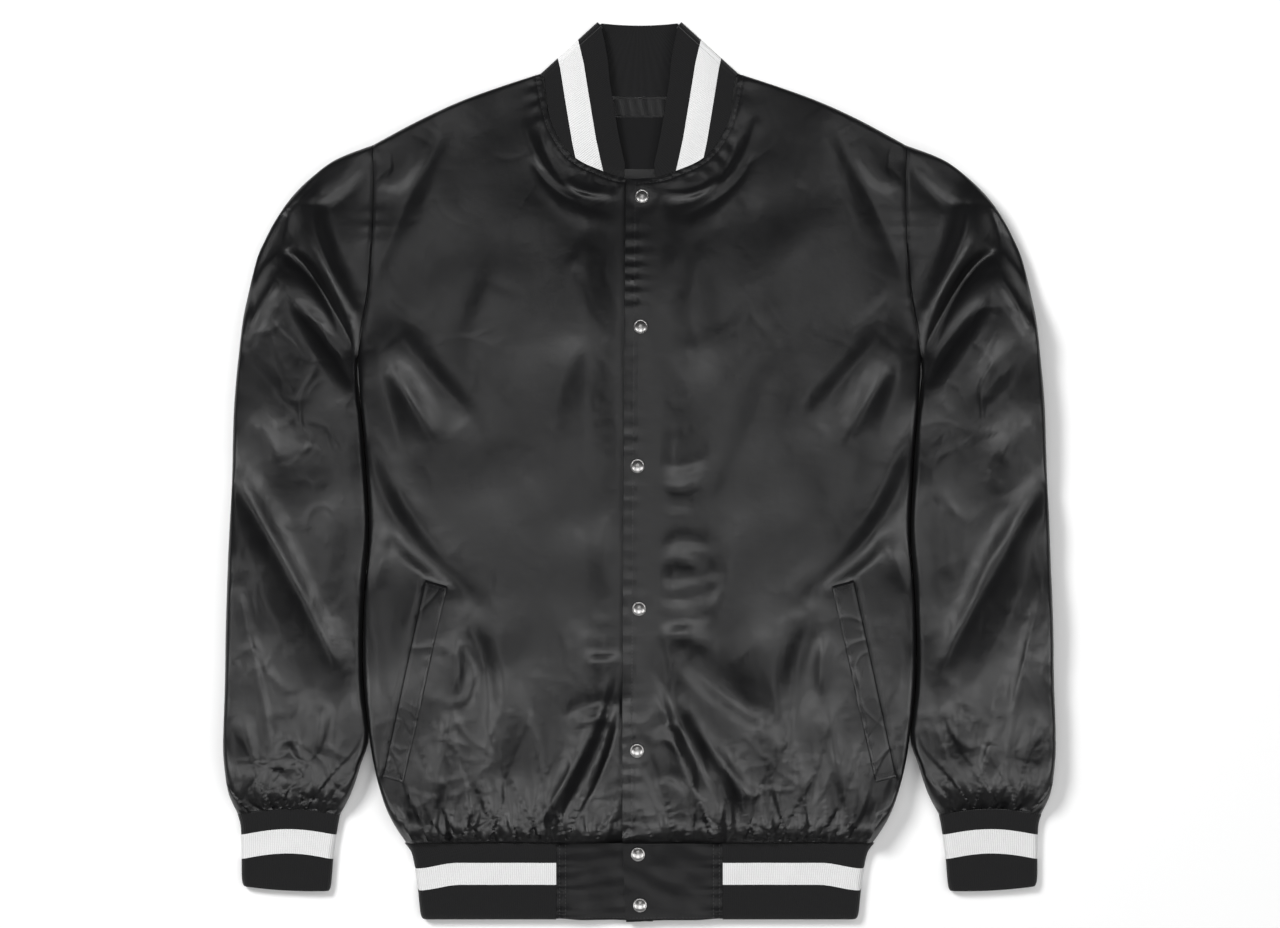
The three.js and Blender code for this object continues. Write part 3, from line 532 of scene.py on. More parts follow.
def puffs(place, up, pitch, seed):
    """Round puffs with sharp valleys between them, where much cloth is drawn into a band."""
    along = np.asarray(place, float)

    def drift(size, shift):
        return soft_noise(along, 0 * along, size, seed + shift)

    bent = along + 0.5 * pitch * drift(4 * pitch, 0) + 0.12 * pitch * soft_noise(along, up, pitch, seed + 1)
    lean = bent + 0.16 * up * drift(3 * pitch, 2)
    large = np.abs(np.sin(math.pi * lean / pitch)) ** 0.7 - 0.6
    small = np.abs(np.sin(math.pi * lean / (0.42 * pitch) + 1)) ** 0.8 - 0.6
    rise = np.maximum(up, 0)
    reach = pitch * (1.35 + 0.6 * drift(2 * pitch, 3))
    depth = pitch * (0.13 * large * np.exp(-rise / reach) + 0.06 * small * np.exp(-rise / (0.5 * pitch)))
    return depth * smooth(-2, 7, up)


def body_loft(x, y):
    full = lerp(NECK_LOFT, BODY_LOFT, smooth(80, 220, np.hypot(x, y - NECK_CENTRE_Y)))
    up = np.maximum(y - HEM_SEAM_Y, 0)
    return lerp(np.minimum(full, BAND_LOFT), full, rolled(up, 20))


def body_rise(x, y):
    width = roll_width(body_loft(x, y))
    full = smooth(4, 34, y - HEM_SEAM_Y)
    side = folded_edge(distance_to(SIDE_EDGE, np.abs(x), y), width, full)
    return side * folded_edge(distance_to(SHOULDER_EDGE, np.abs(x), y), width, full)


def soft_noise(x, y, size, seed):
    """Smooth noise from a few crossed waves, about -1 to 1."""
    waves = np.random.default_rng(seed)
    total = 0
    for _ in range(7):
        angle, phase = waves.uniform(0, math.pi), waves.uniform(0, 2 * math.pi)
        k = 2 * math.pi / (size * waves.uniform(0.6, 1.5))
        total = total + np.sin(k * (x * math.cos(angle) + y * math.sin(angle)) + phase)
    return total / 3.2


def seam_marks(x, y):
    """The groove at each seam and the puckers that its stitching pulls."""
    ax = np.abs(x)
    hole = distance_to(ARMHOLE, ax, y)
    neck = distance_to(NECK_EDGE, ax, y)
    # The grooves at the armhole and the neckline, and puckers beside the armhole
    total = -0.8 * np.exp(-((hole / 1.8) ** 2)) - 0.7 * np.exp(-((neck / 2.5) ** 2))
    total += 0.3 * np.sin(y * 0.34 + 2.5 * np.sin(y * 0.09)) * np.exp(-hole / 8) * smooth(0, 3, hole)
    # Around the neck: beading close to the collar, and longer puckers outside it
    turn = np.arctan2(y - NECK_CENTRE_Y, x)
    beading = 0.45 * np.sin(turn * 95 + 2 * np.sin(turn * 13))
    total += beading * np.exp(-np.abs(neck - 3) / 3) * smooth(0, 2, neck)
    total += 0.6 * np.sin(turn * 37 + 2.5 * np.sin(turn * 7)) * np.exp(-np.abs(neck - 9) / 6)
    # The neckline's row of stitches, and the pocket's mouth
    total -= 0.5 * np.exp(-(((neck - 4) / 1.3) ** 2))
    total -= 1.5 * np.exp(-((distance_to(POCKET_MOUTH, ax, y) / 1.5) ** 2))
    return total


def front_height(x, y):
    loft = body_loft(x, y)
    seam = SEAM_HEIGHT * loft + SEAM_GAP / 2
    up = y - HEM_SEAM_Y
    fan = np.abs(x) - 0.1 * up * (np.abs(x) / 200)
    shape = all_folds(x, y) + gathers(HEM_GATHERS, fan + 2.5 * np.sin(up * 0.06 + x * 0.05), up)
    shape += puffs(x, up, HEM_PUFF, 50) * smooth(18, 40, np.abs(x))
    shape += seam_marks(x, y)
    return seam + (loft + shape - seam) * body_rise(x, y)


def back_height(x, y):
    return (SEAM_HEIGHT * body_loft(x, y) - SEAM_GAP / 2) * (1 - body_rise(x, y))


def closed_seam(x, y, z, edge, side):
    """Heights with the edge's points set in the seam, half a gap above it (side 1) or below it (-1)."""
    return np.where(edge, SEAM_HEIGHT * body_loft(x, y) + side * SEAM_GAP / 2, z)


def front_drop(x, y):
    """How far the under front lies below the over one."""
    drop = LAP_DROP + HEM_DROP * (1 - smooth(16, 40, y - HEM_SEAM_Y))
    return drop * (1 - smooth(16, 48, x))


# %% [markdown]
# ## Shells
# Real cloth is one sheet with two faces. A single surface would look the same from above, but a shell has an
# edge and an inside to look at, and it can be cut and measured. It is a grid of points with a thickness. For
# the materials it keeps how far along and across the cloth each point lies, in millimetres, as UVs, whether
# the point is on the outer face, and how much it shines.

# %% Shell maker
FLOOR_CLEARANCE = 0.02
SHARP_ANGLE = 50


def keep_number(mesh, name, values):
    """Keeps a number at each point, which a material can read by its name."""
    mesh.attributes.new(name, "FLOAT", "POINT").data.foreach_set("value", values)


def grid_normals(points, closed):
    """Unit normals at the points. A closed grid goes round and meets itself."""
    if closed:
        around = np.roll(points, -1, 1) - np.roll(points, 1, 1)
    else:
        around = np.gradient(points, axis=1)
    along = np.gradient(points, axis=0)
    normal = np.cross(around, along)
    return normal / np.maximum(np.linalg.norm(normal, axis=2, keepdims=True), 1e-9)


def shell(name, points, thickness, closed=False, flip=False, keep=None, uv=None, shine=1):
    """A closed wall from a grid of outer points, rows x columns x 3, in millimetres."""
    rows, columns = points.shape[:2]
    normal = grid_normals(points, closed) * (-1 if flip else 1)
    if keep:
        keep(normal)
        normal /= np.maximum(np.linalg.norm(normal, axis=2, keepdims=True), 1e-9)
    inner = points - normal * thickness
    inner[..., 2] = np.maximum(inner[..., 2], FLOOR_CLEARANCE)
    count = rows * columns
    index = np.arange(count).reshape(rows, columns)
    if closed:
        index = np.concatenate([index, index[:, :1]], 1)
    a, b, c, d = index[:-1, :-1], index[:-1, 1:], index[1:, 1:], index[1:, :-1]
    outer = np.stack([a, b, c, d], -1).reshape(-1, 4)
    if flip:
        outer = outer[:, ::-1]
    rims = [index[0], index[-1][::-1]]
    if not closed:
        rims += [index[::-1, 0], index[:, -1]]
    rim = []
    for line in rims:
        line = line[::-1] if flip else line
        rim.append(np.stack([line[1:], line[:-1], line[:-1] + count, line[1:] + count], -1))
    faces = np.concatenate([outer, outer[:, ::-1] + count, *rim])
    mesh = bpy.data.meshes.new(name)
    both = np.concatenate([points.reshape(-1, 3), inner.reshape(-1, 3)])
    mesh.from_pydata((both * MM).tolist(), [], faces.tolist())
    if uv is None:
        step = np.linalg.norm(np.diff(points, axis=1), axis=2).mean(0)
        across = np.concatenate([[0], np.cumsum(step)])
        step = np.linalg.norm(np.diff(points, axis=0), axis=2).mean(1)
        along = np.concatenate([[0], np.cumsum(step)])
        uv = np.stack(np.meshgrid(across, along), -1)
    flat = np.concatenate([uv.reshape(-1, 2)] * 2)
    corner = np.empty(len(mesh.loops), int)
    mesh.loops.foreach_get("vertex_index", corner)
    mesh.uv_layers.new(name="cloth_mm").data.foreach_set("uv", flat[corner].ravel())
    keep_number(mesh, "outer", np.concatenate([np.ones(count), np.zeros(count)]))
    keep_number(mesh, "shine", np.full(2 * count, float(shine)))
    mesh.polygons.foreach_set("use_smooth", np.ones(len(mesh.polygons), bool))
    mesh.set_sharp_from_angle(angle=math.radians(SHARP_ANGLE))
    return placed(name, mesh)


def spread_shares(width, roll_a, roll_b, total, in_roll=10):
    """Shares across a width, close together where its ends roll over. Widths may be arrays."""
    width = np.atleast_1d(np.asarray(width, float))[:, None]
    bend = 1 - np.cos(np.linspace(0, math.pi / 2, in_roll + 1))[None, :]
    none = np.zeros((len(width), 1))
    start = bend * np.atleast_1d(roll_a)[:, None] / width if np.any(roll_a) else none
    end = 1 - (bend[:, ::-1] * np.atleast_1d(roll_b)[:, None] / width if np.any(roll_b) else none)
    middle = total - start.shape[1] - end.shape[1]
    t = np.linspace(0, 1, middle + 2)[None, 1:-1]
    return np.concatenate([start, lerp(start[:, -1:], end[:, :1], t), end], 1)


def set_floor_of_snaps(x, y, z):
    """Cloth lies flat under each snap cap, at the cap's foot."""
    for i, (sx, sy) in enumerate(zip(SNAP_PLACES["x"], SNAP_PLACES["y"])):
        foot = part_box(f"snap_cap_{i + 1}")[0][2] / MM - 0.1
        near = smooth(17, 7, np.hypot(x - sx, y - sy))
        z = lerp(z, foot, near)
    return z


# %% [markdown]
# ## Body
# The body is two fronts and a back, sewn at the sides and shoulders. The wearer's left front laps over the
# right one, and its stitched edge puckers. One tube for all three would be simpler, but it would have no lap,
# no seams and no pieces to cut. So each is a shell of its own, and the edges of front and back lie in the seam,
# half a gap above and below it.

# %% Fronts
FRONT_GRID = (260, 124)
END_ROWS = 26  # rows that lie close together at the hem seam, and as many at the shoulder
PLACKET_STITCH, PUCKER_PITCH = 8, 13


def front_rows():
    """Fractional rows, close together at the hem seam and at the shoulder."""
    low = np.linspace(0, 1, END_ROWS) ** 1.3 * 1.4
    middle = np.linspace(1.4, 15, FRONT_GRID[0] - 2 * END_ROWS + 2)[1:]
    high = TOP_ROW - (1 - np.linspace(0, 1, END_ROWS)[1:]) ** 1.6
    return np.concatenate([low, middle, high])


def front(name, side, under):
    row = front_rows()
    (ax, ay), (bx, by) = inner_at(row), outer_at(row)
    width = np.hypot(bx - ax, by - ay)
    share = spread_shares(width, 0, roll_width(body_loft(bx, by)), FRONT_GRID[1])
    gap = np.where(row > ARMPIT_ROW, SEAM_GAP / width, 0)[:, None]
    x, y = front_plan(row[:, None], share * (1 - gap))
    z = front_height(side * x, y)
    edge_in = x - ax[:, None]
    low = row[:, None] < NECK_ROW
    if under:
        tuck = -0.5 * np.exp(-(((x + ax[:, None] + 0.6) / 1.5) ** 2))
        z = z - front_drop(x, y) + np.where(low, tuck, 0)
    else:
        uneven = 1.9 * np.sin(y * 0.031) + 1.2 * np.sin(y * 0.077)
        wave = np.sin(y * 2 * math.pi / PUCKER_PITCH + uneven)
        strength = 0.22 + 0.75 * smooth(-0.4, 0.8, soft_noise(0 * y, y, 110, 6))
        across = 0.7 * smooth(13, 6, edge_in) + 0.8 * np.exp(-np.abs(edge_in - 9) / 9)
        pucker = strength * wave * across
        groove = -0.7 * np.exp(-(((edge_in - PLACKET_STITCH) / 1.2) ** 2))
        lip = 0.5 * smooth(4, 0, edge_in)
        z = z + np.where(low, (pucker + groove + lip) * smooth(34, 12, edge_in), 0)
        z = set_floor_of_snaps(side * x, y, z)
    edge = np.zeros(z.shape, bool)
    edge[-1] = edge[row <= ARMPIT_ROW, -1] = True
    z = closed_seam(x, y, z, edge, 1)

    def keep(normal):
        normal[row > ARMPIT_ROW, -1, 0] = 0
        normal[row <= ARMPIT_ROW, -1, 2] = 0
        normal[0, :, 1] = 0
        normal[-1, :, 2] = 0

    return shell(name, np.stack([side * x, y, z], -1), CLOTH, flip=side < 0, keep=keep)


front_left = front("front_left_cloth", 1, False)
front_right = front("front_right_cloth", -1, True)
print("front faces:", len(front_left.data.polygons))

# %% Back
BACK_ROWS = (90, 20)  # rows up to the yoke, and rows above it


def back():
    neck = np.stack(back_neck_at(np.linspace(0, 1, 31)[:-1]), 1)
    shares = spread_shares(155, 0, roll_width(BODY_LOFT), 36)[0]
    top = np.concatenate([neck, np.stack(front_plan(np.full(len(shares), TOP_ROW), shares), 1)])
    high = TOP_ROW - (1 - np.linspace(0, 1, BACK_ROWS[1] + 1)[1:]) ** 2
    row = np.concatenate([np.linspace(0, 15, BACK_ROWS[0]), high])
    bx, by = outer_at(row)
    rise = smooth(0, TOP_ROW, row)[:, None] ** 1.5
    reach = (bx - np.where(row > ARMPIT_ROW, SEAM_GAP, 0))[:, None]
    x = top[None, :, 0] * reach / top[-1, 0]
    y = by[:, None] + (top[None, :, 1] - top[-1, 1]) * rise
    x = np.concatenate([-x[:, :0:-1], x], 1)
    y = np.concatenate([y[:, :0:-1], y], 1)
    edge = np.zeros(x.shape, bool)
    edge[row <= ARMPIT_ROW, 0] = edge[row <= ARMPIT_ROW, -1] = True
    edge[-1, : len(shares)] = edge[-1, -len(shares) :] = True
    z = closed_seam(x, y, back_height(x, y), edge, -1)

    def keep(normal):
        for end in (0, -1):
            normal[row > ARMPIT_ROW, end, 0] = 0
            normal[row <= ARMPIT_ROW, end, 2] = 0
        normal[0, :, 1] = 0
        shoulder = np.abs(x[-1]) > BACK_NECK["x"][-1] - 1
        normal[-1, shoulder, 2] = 0
        normal[-1, ~shoulder, 1] = 0

    return shell("back_cloth", np.stack([x, y, z], -1), CLOTH, flip=True, keep=keep)


back_cloth = back()

# %% [markdown]
# ## Sleeves
# A sleeve is one piece of satin, sewn into a tube and set into the armhole. Laid flat it has two fold edges.
# It could be swept along a line, but a sweep can't meet the slanted armhole. Here it is a tube of rings, each
# with its own two ends, and the first ring is the armhole itself.

# %% Sleeves
SLEEVE_GRID = (240, 84, 34)  # rings, points above and points below


def sleeve_plan(ring, share):
    def at(name, r):
        return column_at(SLEEVE_RINGS, name, r)

    hole_x, hole_y = outer_at(lerp(TOP_ROW, ARMPIT_ROW, share))
    bend = 1 - smooth(0, 5, ring)
    bend_x = (hole_x - lerp(at("out_x", 0), at("in_x", 0), share)) * bend
    bend_y = (hole_y - lerp(at("out_y", 0), at("in_y", 0), share)) * bend
    arch = CUFF_ARCH * smooth(15, 17, ring) * np.sin(math.pi * share)
    x = lerp(at("out_x", ring), at("in_x", ring), share) + bend_x
    return x, lerp(at("out_y", ring), at("in_y", ring), share) + bend_y + arch


def sleeve(name, side):
    rings, above, below = SLEEVE_GRID
    ring = np.concatenate([
        np.linspace(0, 1, 14)[:-1] ** 1.2,
        np.linspace(1, 15, rings - 44),
        np.linspace(15, 17, 32)[1:],
    ])
    (ax, ay), (bx, by) = sleeve_plan(ring, np.zeros(len(ring))), sleeve_plan(ring, np.ones(len(ring)))
    width = np.hypot(bx - ax, by - ay)
    loft = column_at(SLEEVE_RINGS, "loft", ring)
    roll = roll_width(loft)
    in_roll = lerp(ARMPIT_ROLL, roll, smooth(0, 6, ring))
    share = np.concatenate([
        spread_shares(width, roll, in_roll, above),
        spread_shares(width, roll, in_roll, below)[:, -2:0:-1],
    ], 1)
    top = np.arange(share.shape[1])[None, :] < above
    ring, width, loft, roll, in_roll = (v[:, None] for v in (ring, width, loft, roll, in_roll))
    x, y = sleeve_plan(ring, share)
    full = smooth(17, 15, ring)
    own = folded_edge(share * width, roll, full) * folded_edge((1 - share) * width, in_roll, full)
    rise = lerp(body_rise(*sleeve_plan(np.zeros_like(ring), share)), own, smooth(0, 1.6, ring))
    seam = SEAM_HEIGHT * loft
    up = y - CUFF_SEAM_Y
    tuck = gathers(CUFF_GATHERS, share * SLEEVE_END + 1.5 * np.sin(up * 0.09), up)
    shape = all_folds(side * x, y) + tuck + seam_marks(side * x, y)
    shape += np.where(up < 150, puffs(share * SLEEVE_END, up, CUFF_PUFF, 60 + side), 0)
    high = seam + (loft + shape - seam) * rise
    z = np.where(top, high, seam * (1 - rise))
    x = x + np.where(ring == 0, SEAM_GAP, 0)

    def keep(normal):
        normal[0, :, 0] = 0
        normal[-1, :, 1] = 0

    return shell(name, np.stack([side * x, y, z], -1), CLOTH, closed=True, flip=side < 0, keep=keep)


sleeves = [sleeve("sleeve_left_cloth", 1), sleeve("sleeve_right_cloth", -1)]
print("sleeve faces:", len(sleeves[0].data.polygons))

# %% [markdown]
# ## Rib bands
# The cuffs, the hem and the collar are doubled rib knit, with a white stripe that is knitted in. The stripe
# could be a strip of its own, but it has no edge that can be felt, so each band keeps a number that says how
# far a point lies into the stripe, and the material colours it. The ribs are too fine for the mesh and are
# bump.

# %% The cuffs, the hem and the collar are doubled rib knit, with a white stripe that is knitted in. The stripe could be a strip of its own, but it has no edge that can be felt, so each band keeps a number that says how far a point lies into the stripe, and the material colours it. The ribs are too fine for the mesh and are bump, and the colour between them is darkened as painted shade.
CUFF_RINGS = table("out_x out_y in_x in_y loft", [
    (343, CUFF_SEAM_Y - SEAM_GAP, 255.5, CUFF_SEAM_Y - SEAM_GAP, BAND_LOFT),
    (340.4, -303, 257.6, -303, 11.6),
    (339.8, -326, 261, -326, 11),
    (339.7, -344, 262.8, -347, 10.6),
    (339, -350.6, 263.8, -354.4, 10),
    (337.8, -353.4, 265.2, -357.4, 9.4),
])


CUFF_STRIPE, HEM_STRIPE = (0.255, 0.305), (0.255, 0.285)  # start and width, as shares of the band


def stripe_number(piece, values):
    """Keeps, for each point, how far it lies into the white stripe: 0 to 1 is white."""
    keep_number(piece.data, "stripe", np.concatenate([values.ravel()] * 2))


def cuff(name, side):
    at = np.linspace(0, len(CUFF_RINGS["loft"]) - 1, 64)
    rings = columns_at(CUFF_RINGS, "out_x out_y in_x in_y loft", at)
    width, loft = rings[0] - rings[2], rings[4]
    above, below = 70, 40
    share = np.concatenate([
        spread_shares(width, loft / 2, loft / 2, above),
        spread_shares(width, loft / 2, loft / 2, below)[:, -2:0:-1],
    ], 1)
    top = np.arange(share.shape[1])[None, :] < above
    at, width, out_x, out_y, in_x, in_y, loft = (v[:, None] for v in (at, width, *rings))
    arch = lerp(CUFF_ARCH, -1.5, smooth(0, 4, at)) * np.sin(math.pi * share)
    x, y = lerp(out_x, in_x, share), lerp(out_y, in_y, share) + arch
    rise = rolled(share * width, loft / 2) * rolled((1 - share) * width, loft / 2)
    wobble = 0.25 * soft_noise(x, y, 28, 8) * rise
    z = loft / 2 * np.where(top, 1 + rise, 1 - rise) + np.where(top, wobble, 0)
    down = (CUFF_SEAM_Y + arch[:1] - y) / 68
    piece = shell(name, np.stack([side * x, y, z], -1), RIB, closed=True, flip=side < 0)
    stripe_number(piece, (down - CUFF_STRIPE[0]) / CUFF_STRIPE[1])
    return piece


cuffs = [cuff("cuff_left_knit", 1), cuff("cuff_right_knit", -1)]

HEM_SIDES = table("y x loft", [
    (HEM_SEAM_Y - SEAM_GAP, 200.5, BAND_LOFT),
    (-325, 194.6, BAND_LOFT),
    (-340, 191.4, BAND_LOFT),
    (-358, 189, BAND_LOFT),
    (-374, 187.4, BAND_LOFT),
    (-379.5, 186.2, 11),
    (HEM_Y, 184.6, 9.6),
])
TAB_END_X = 71


def hem_band():
    at = np.linspace(0, len(HEM_SIDES["y"]) - 1, 52)[:, None]
    y, x_side, loft = columns_at(HEM_SIDES, "y x loft", at)
    half = loft / 2
    angle = np.linspace(0, math.pi, 19)[None, :]
    turn_x, turn_z = x_side - half + half * np.sin(angle), half + half * np.cos(angle)
    t = np.linspace(0, 1, 60)[None, :-1]
    front_x, front_z = lerp(TAB_END_X, x_side - half, t), np.broadcast_to(loft, (len(at), 59))
    u = np.linspace(0, 1, 60)[None, 1:]
    under_x = lerp(x_side - half, 0, u)
    x = np.concatenate([front_x, turn_x, under_x], 1)
    z = np.concatenate([front_z, turn_z, np.zeros_like(under_x)], 1)
    wave = 0.35 * soft_noise(x, y + 0 * x, 36, 9) * smooth(BAND_LOFT - 2, BAND_LOFT, z)
    x = np.concatenate([x, -x[:, -2::-1]], 1)
    z = np.concatenate([z + wave, (z + wave)[:, -2::-1]], 1)
    y = np.broadcast_to(y, x.shape).copy()
    down = (HEM_SEAM_Y - y) / 65.5
    droop = 0.075 * smooth(-38, 0, np.abs(x) - x_side) * smooth(4, 10, z)
    points = np.stack([x, y, z], -1)

    def keep(normal):
        normal[0, :, 1] = 0
        normal[:, (0, -1), 0] = 0

    piece = shell("hem_knit", points, RIB, flip=True, keep=keep)
    stripe_number(piece, (down - droop - HEM_STRIPE[0]) / HEM_STRIPE[1])
    return piece


hem_knit = hem_band()

COLLAR_EDGE = table("x y rise", [
    (12.4, 262.5, 0.4),
    (14.6, 272, 1),
    (18, 288, 1.6),
    (21, 306, 2.2),
    (24.6, 328, 2.6),
    (28.4, 352, 2.6),
    (36, 384.2, 1.6),
])
COLLAR_START_ROW = 12.5
COLLAR_FOLD = 4.6
STRIPE_FROM_EDGE, STRIPE_WIDTH = 19.5, 20.5


def collar():
    """The collar's two front flaps, the turn at each shoulder and the part behind the neck, as one strip."""
    fold_seam = np.array([NECKLINE["x"][-1], NECKLINE["y"][-1]])
    fold_free = np.array([COLLAR_EDGE["x"][-1], COLLAR_EDGE["y"][-1]])
    along = fold_free - fold_seam
    out = np.array([along[1], -along[0]]) / np.linalg.norm(along)
    t = np.concatenate([np.linspace(0, 0.9, 44)[:-1], np.linspace(0.9, 1, 8)])[None, :]

    def flap(side):
        row = np.linspace(COLLAR_START_ROW, TOP_ROW, 90)[:-1, None]
        sx, sy = inner_at(row)
        s = (row - COLLAR_START_ROW) / (TOP_ROW - COLLAR_START_ROW)
        fx, fy, rise = columns_at(COLLAR_EDGE, "x y rise", s * (len(COLLAR_EDGE["x"]) - 1))
        front_z = front_height(side * sx, sy) - (front_drop(sx, sy) if side < 0 else 0)
        seam_z = lerp(front_z, 2 * COLLAR_FOLD, smooth(0.6, 1, s))
        reach = np.hypot(fx - sx, fy - sy)
        tt = (SEAM_GAP + t * (reach - SEAM_GAP)) / reach
        back_off = COLLAR_FOLD * smooth(0.7, 1, s)
        x, y = lerp(sx, fx, tt) - out[0] * back_off, lerp(sy, fy, tt) - out[1] * back_off
        z = lerp(seam_z, 2 * COLLAR_FOLD + rise, smooth(0, 0.5, tt))
        return np.stack([side * x, y, z], -1)

    def turn(side):
        angle = np.linspace(0, math.pi, 17)[:, None]
        r = COLLAR_FOLD - 0.15
        push = r * np.sin(angle) - r
        x = lerp(fold_seam[0], fold_free[0], t) + out[0] * push
        y = lerp(fold_seam[1], fold_free[1], t) + out[1] * push
        return np.stack([side * x, y, r + r * np.cos(angle) + 0 * t], -1)

    u = np.linspace(-1, 1, 62)[1:-1, None]
    sx, sy = back_neck_at(np.abs(u))
    fx, fy = lerp(0, 34, np.abs(u)), lerp(381.5, 383.6, u * u)
    tt = lerp(SEAM_GAP / 60, 1, t)
    behind = np.stack([np.sign(u) * lerp(sx, fx, tt), lerp(sy, fy, tt), 0 * tt * u], -1)
    points = np.concatenate([flap(-1), turn(-1), behind, turn(1)[::-1], flap(1)[::-1]])
    step = np.linalg.norm(np.diff(points[:, -1], axis=0), axis=1)
    length = np.concatenate([[0], np.cumsum(step)])[:, None] + 0 * t
    depth = 60 * t + 0 * length
    piece = shell("collar_knit", points, RIB, flip=False, uv=np.stack([length, depth], -1))
    free = np.stack([COLLAR_EDGE["x"], COLLAR_EDGE["y"]], 1)
    free = np.concatenate([free, [[0, 382]]])
    from_edge = distance_to(free, np.abs(points[..., 0]), points[..., 1])
    stripe_number(piece, (from_edge - STRIPE_FROM_EDGE) / STRIPE_WIDTH)
    print("collar rows:", len(points))
    return piece


collar_knit = collar()

# %% [markdown]
# ## Hem tabs, pocket welts and the inside of the neck
# The tabs end the hem band at the front and carry two snaps. The welts are folded strips over the pocket
# mouths. A strip and a bare label show inside the neck. They are small and lie on other pieces, so each is a
# shell that takes its height from what is below it, rather than a box that would stand off the folds.

# %% Satin trim
TAB_CLOTH = 2.4
TAB_STITCHES = (3, 8)
TAB_SHINE = 0.3  # its satin runs across, so it mirrors less of the light
TAB_ROWS = table("y in_x height", [
    (HEM_SEAM_Y - SEAM_GAP, -14.3, BAND_LOFT),
    (-328, -13.9, BAND_LOFT + 0.5),
    (-352, -13, BAND_LOFT + 0.5),
    (-374, -12, BAND_LOFT),
    (-382, -11.3, BAND_LOFT - 0.8),
])


def hem_tab(name, side, under):
    at = np.linspace(0, 4, 70)[:, None]
    y, in_x, height = columns_at(TAB_ROWS, "y in_x height", at)
    share = np.linspace(0, 1, 70)[None, :]
    x = lerp(in_x, TAB_END_X - SEAM_GAP, share)
    low = smooth(3, 4, at)
    corner = low * (-1.6 * (1 - smooth(0, 3 / 7, share)) + 1.4 * smooth(5 / 7, 1, share))
    pucker = 0.55 * np.sin(y * 0.72 + np.sin(y * 0.3)) * np.exp(-(TAB_END_X - x) / 9)
    wrinkle = 0.35 * soft_noise(x * 0.7, y * 1.6, 26, 12 + under)
    for seam in TAB_STITCHES:
        pucker -= 0.45 * np.exp(-(((TAB_END_X - x - seam) / 1) ** 2))
    z = height + pucker + wrinkle - under * (TAB_CLOTH + 0.9) * (1 - smooth(16, 48, x))
    z = z - 0.8 * smooth(0.93, 1, at / 4)
    if not under:
        z = set_floor_of_snaps(side * x, y + corner, z)
    z = lerp(z, BAND_LOFT - 0.2, smooth(TAB_END_X - 2.5, TAB_END_X, x))
    return shell(name, np.stack([side * x, y + corner, z], -1), TAB_CLOTH, flip=side > 0, shine=TAB_SHINE)


tabs = [hem_tab("hem_tab_left_cloth", 1, False), hem_tab("hem_tab_right_cloth", -1, True)]

WELT_CLOTH = 1.6


def welt_point(u, t):
    """Plan point on the wearer's left welt: u from its inner to its outer edge, t from top to low end."""
    top_x, top_y, low_x, low_y = (lerp(*WELT[name], u) for name in ("top_x", "top_y", "low_x", "low_y"))
    return lerp(top_x, low_x, t), lerp(top_y, low_y, t)


def welt(name, side):
    t, u = np.linspace(0, 1, 130)[:, None], np.linspace(0, 1, 26)[None, :]
    x, y = welt_point(u, t)
    edge = np.minimum(np.minimum(u, 1 - u) * 19, np.minimum(t, 1 - t) * 170)
    z = front_height(side * x, y) + 0.2 + WELT_CLOTH * rolled(edge, 2.2) * 0.6 + WELT_CLOTH * 0.4
    z += 0.25 * np.sin(t * 60 + 2 * np.sin(t * 17)) * smooth(0.45, 0.05, u) + 0.8 * smooth(0.8, 1, u)
    return shell(name, np.stack([side * x, y, z], -1), WELT_CLOTH * 0.7, flip=side > 0)


welts = [welt("pocket_welt_left_cloth", 1), welt("pocket_welt_right_cloth", -1)]


def neck_piece(name, half_width, low_y, high_y, thickness, wave):
    v, u = np.linspace(0, 1, 24)[:, None], np.linspace(0, 1, 140)[None, :]
    ripple = wave * (0.5 + 0.5 * np.sin(u * 26 + v * 1.2))
    x = lerp(-half_width, half_width, u) + 0 * v
    y = lerp(low_y, high_y, v) + 0 * u
    return shell(name, np.stack([x, y, CLOTH + SEAM_GAP + thickness + ripple + 0 * v], -1), thickness, flip=False)


neck_strip = neck_piece("neck_strip_cloth", 34, 304.5, 318.5, 1, 0.8)
neck_label = neck_piece("neck_label_cloth", 22, 259, 303, 0.8, 0)

# %% [markdown]
# ## Snap caps
# A snap's cap is pressed from thin metal: a flat rim, a rolled edge and a low dome. All of it is round, so a
# turned profile gives its true form, where a flattened ball would lose the rim.

# %% Snap caps
CAP_PROFILE = table("radius height", [
    (0.01, 2.5),
    (1.6, 2.42),
    (3.2, 2.1),
    (4.3, 1.75),
    (4.85, 1.5),
    (5.2, 1.62),
    (5.6, 1.68),
    (5.9, 1.4),
    (6, 1),
    (5.9, 0.5),
    (5.3, 0.05),
    (0.01, 0),
])


def snap_cap(i):
    low, high = (np.array(corner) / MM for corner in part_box(f"snap_cap_{i + 1}"))
    at = np.linspace(0, len(CAP_PROFILE["radius"]) - 1, 56)
    radius, height = columns_at(CAP_PROFILE, "radius height", at)
    angle = np.linspace(0, 2 * math.pi, 48, endpoint=False)
    centre = (low + high) / 2
    base = centre[2] - CAP_PROFILE["height"][0] / 2
    points = np.stack([
        centre[0] + radius[:, None] * np.cos(angle)[None, :],
        centre[1] + radius[:, None] * np.sin(angle)[None, :],
        base + height[:, None] + 0 * angle[None, :],
    ], -1).reshape(-1, 3)
    columns = len(angle)
    index = np.arange(len(points)).reshape(-1, columns)
    nxt = np.roll(index, -1, 1)
    faces = np.stack([index[:-1], index[1:], nxt[1:], nxt[:-1]], -1).reshape(-1, 4).tolist()
    faces += [index[0].tolist(), index[-1][::-1].tolist()]
    mesh = bpy.data.meshes.new(f"snap_{i + 1}")
    mesh.from_pydata((points * MM).tolist(), [], faces)
    mesh.polygons.foreach_set("use_smooth", np.ones(len(mesh.polygons), bool))
    return placed(f"snap_{i + 1}", mesh)


snaps = [snap_cap(i) for i in range(len(SNAP_PLACES["x"]))]

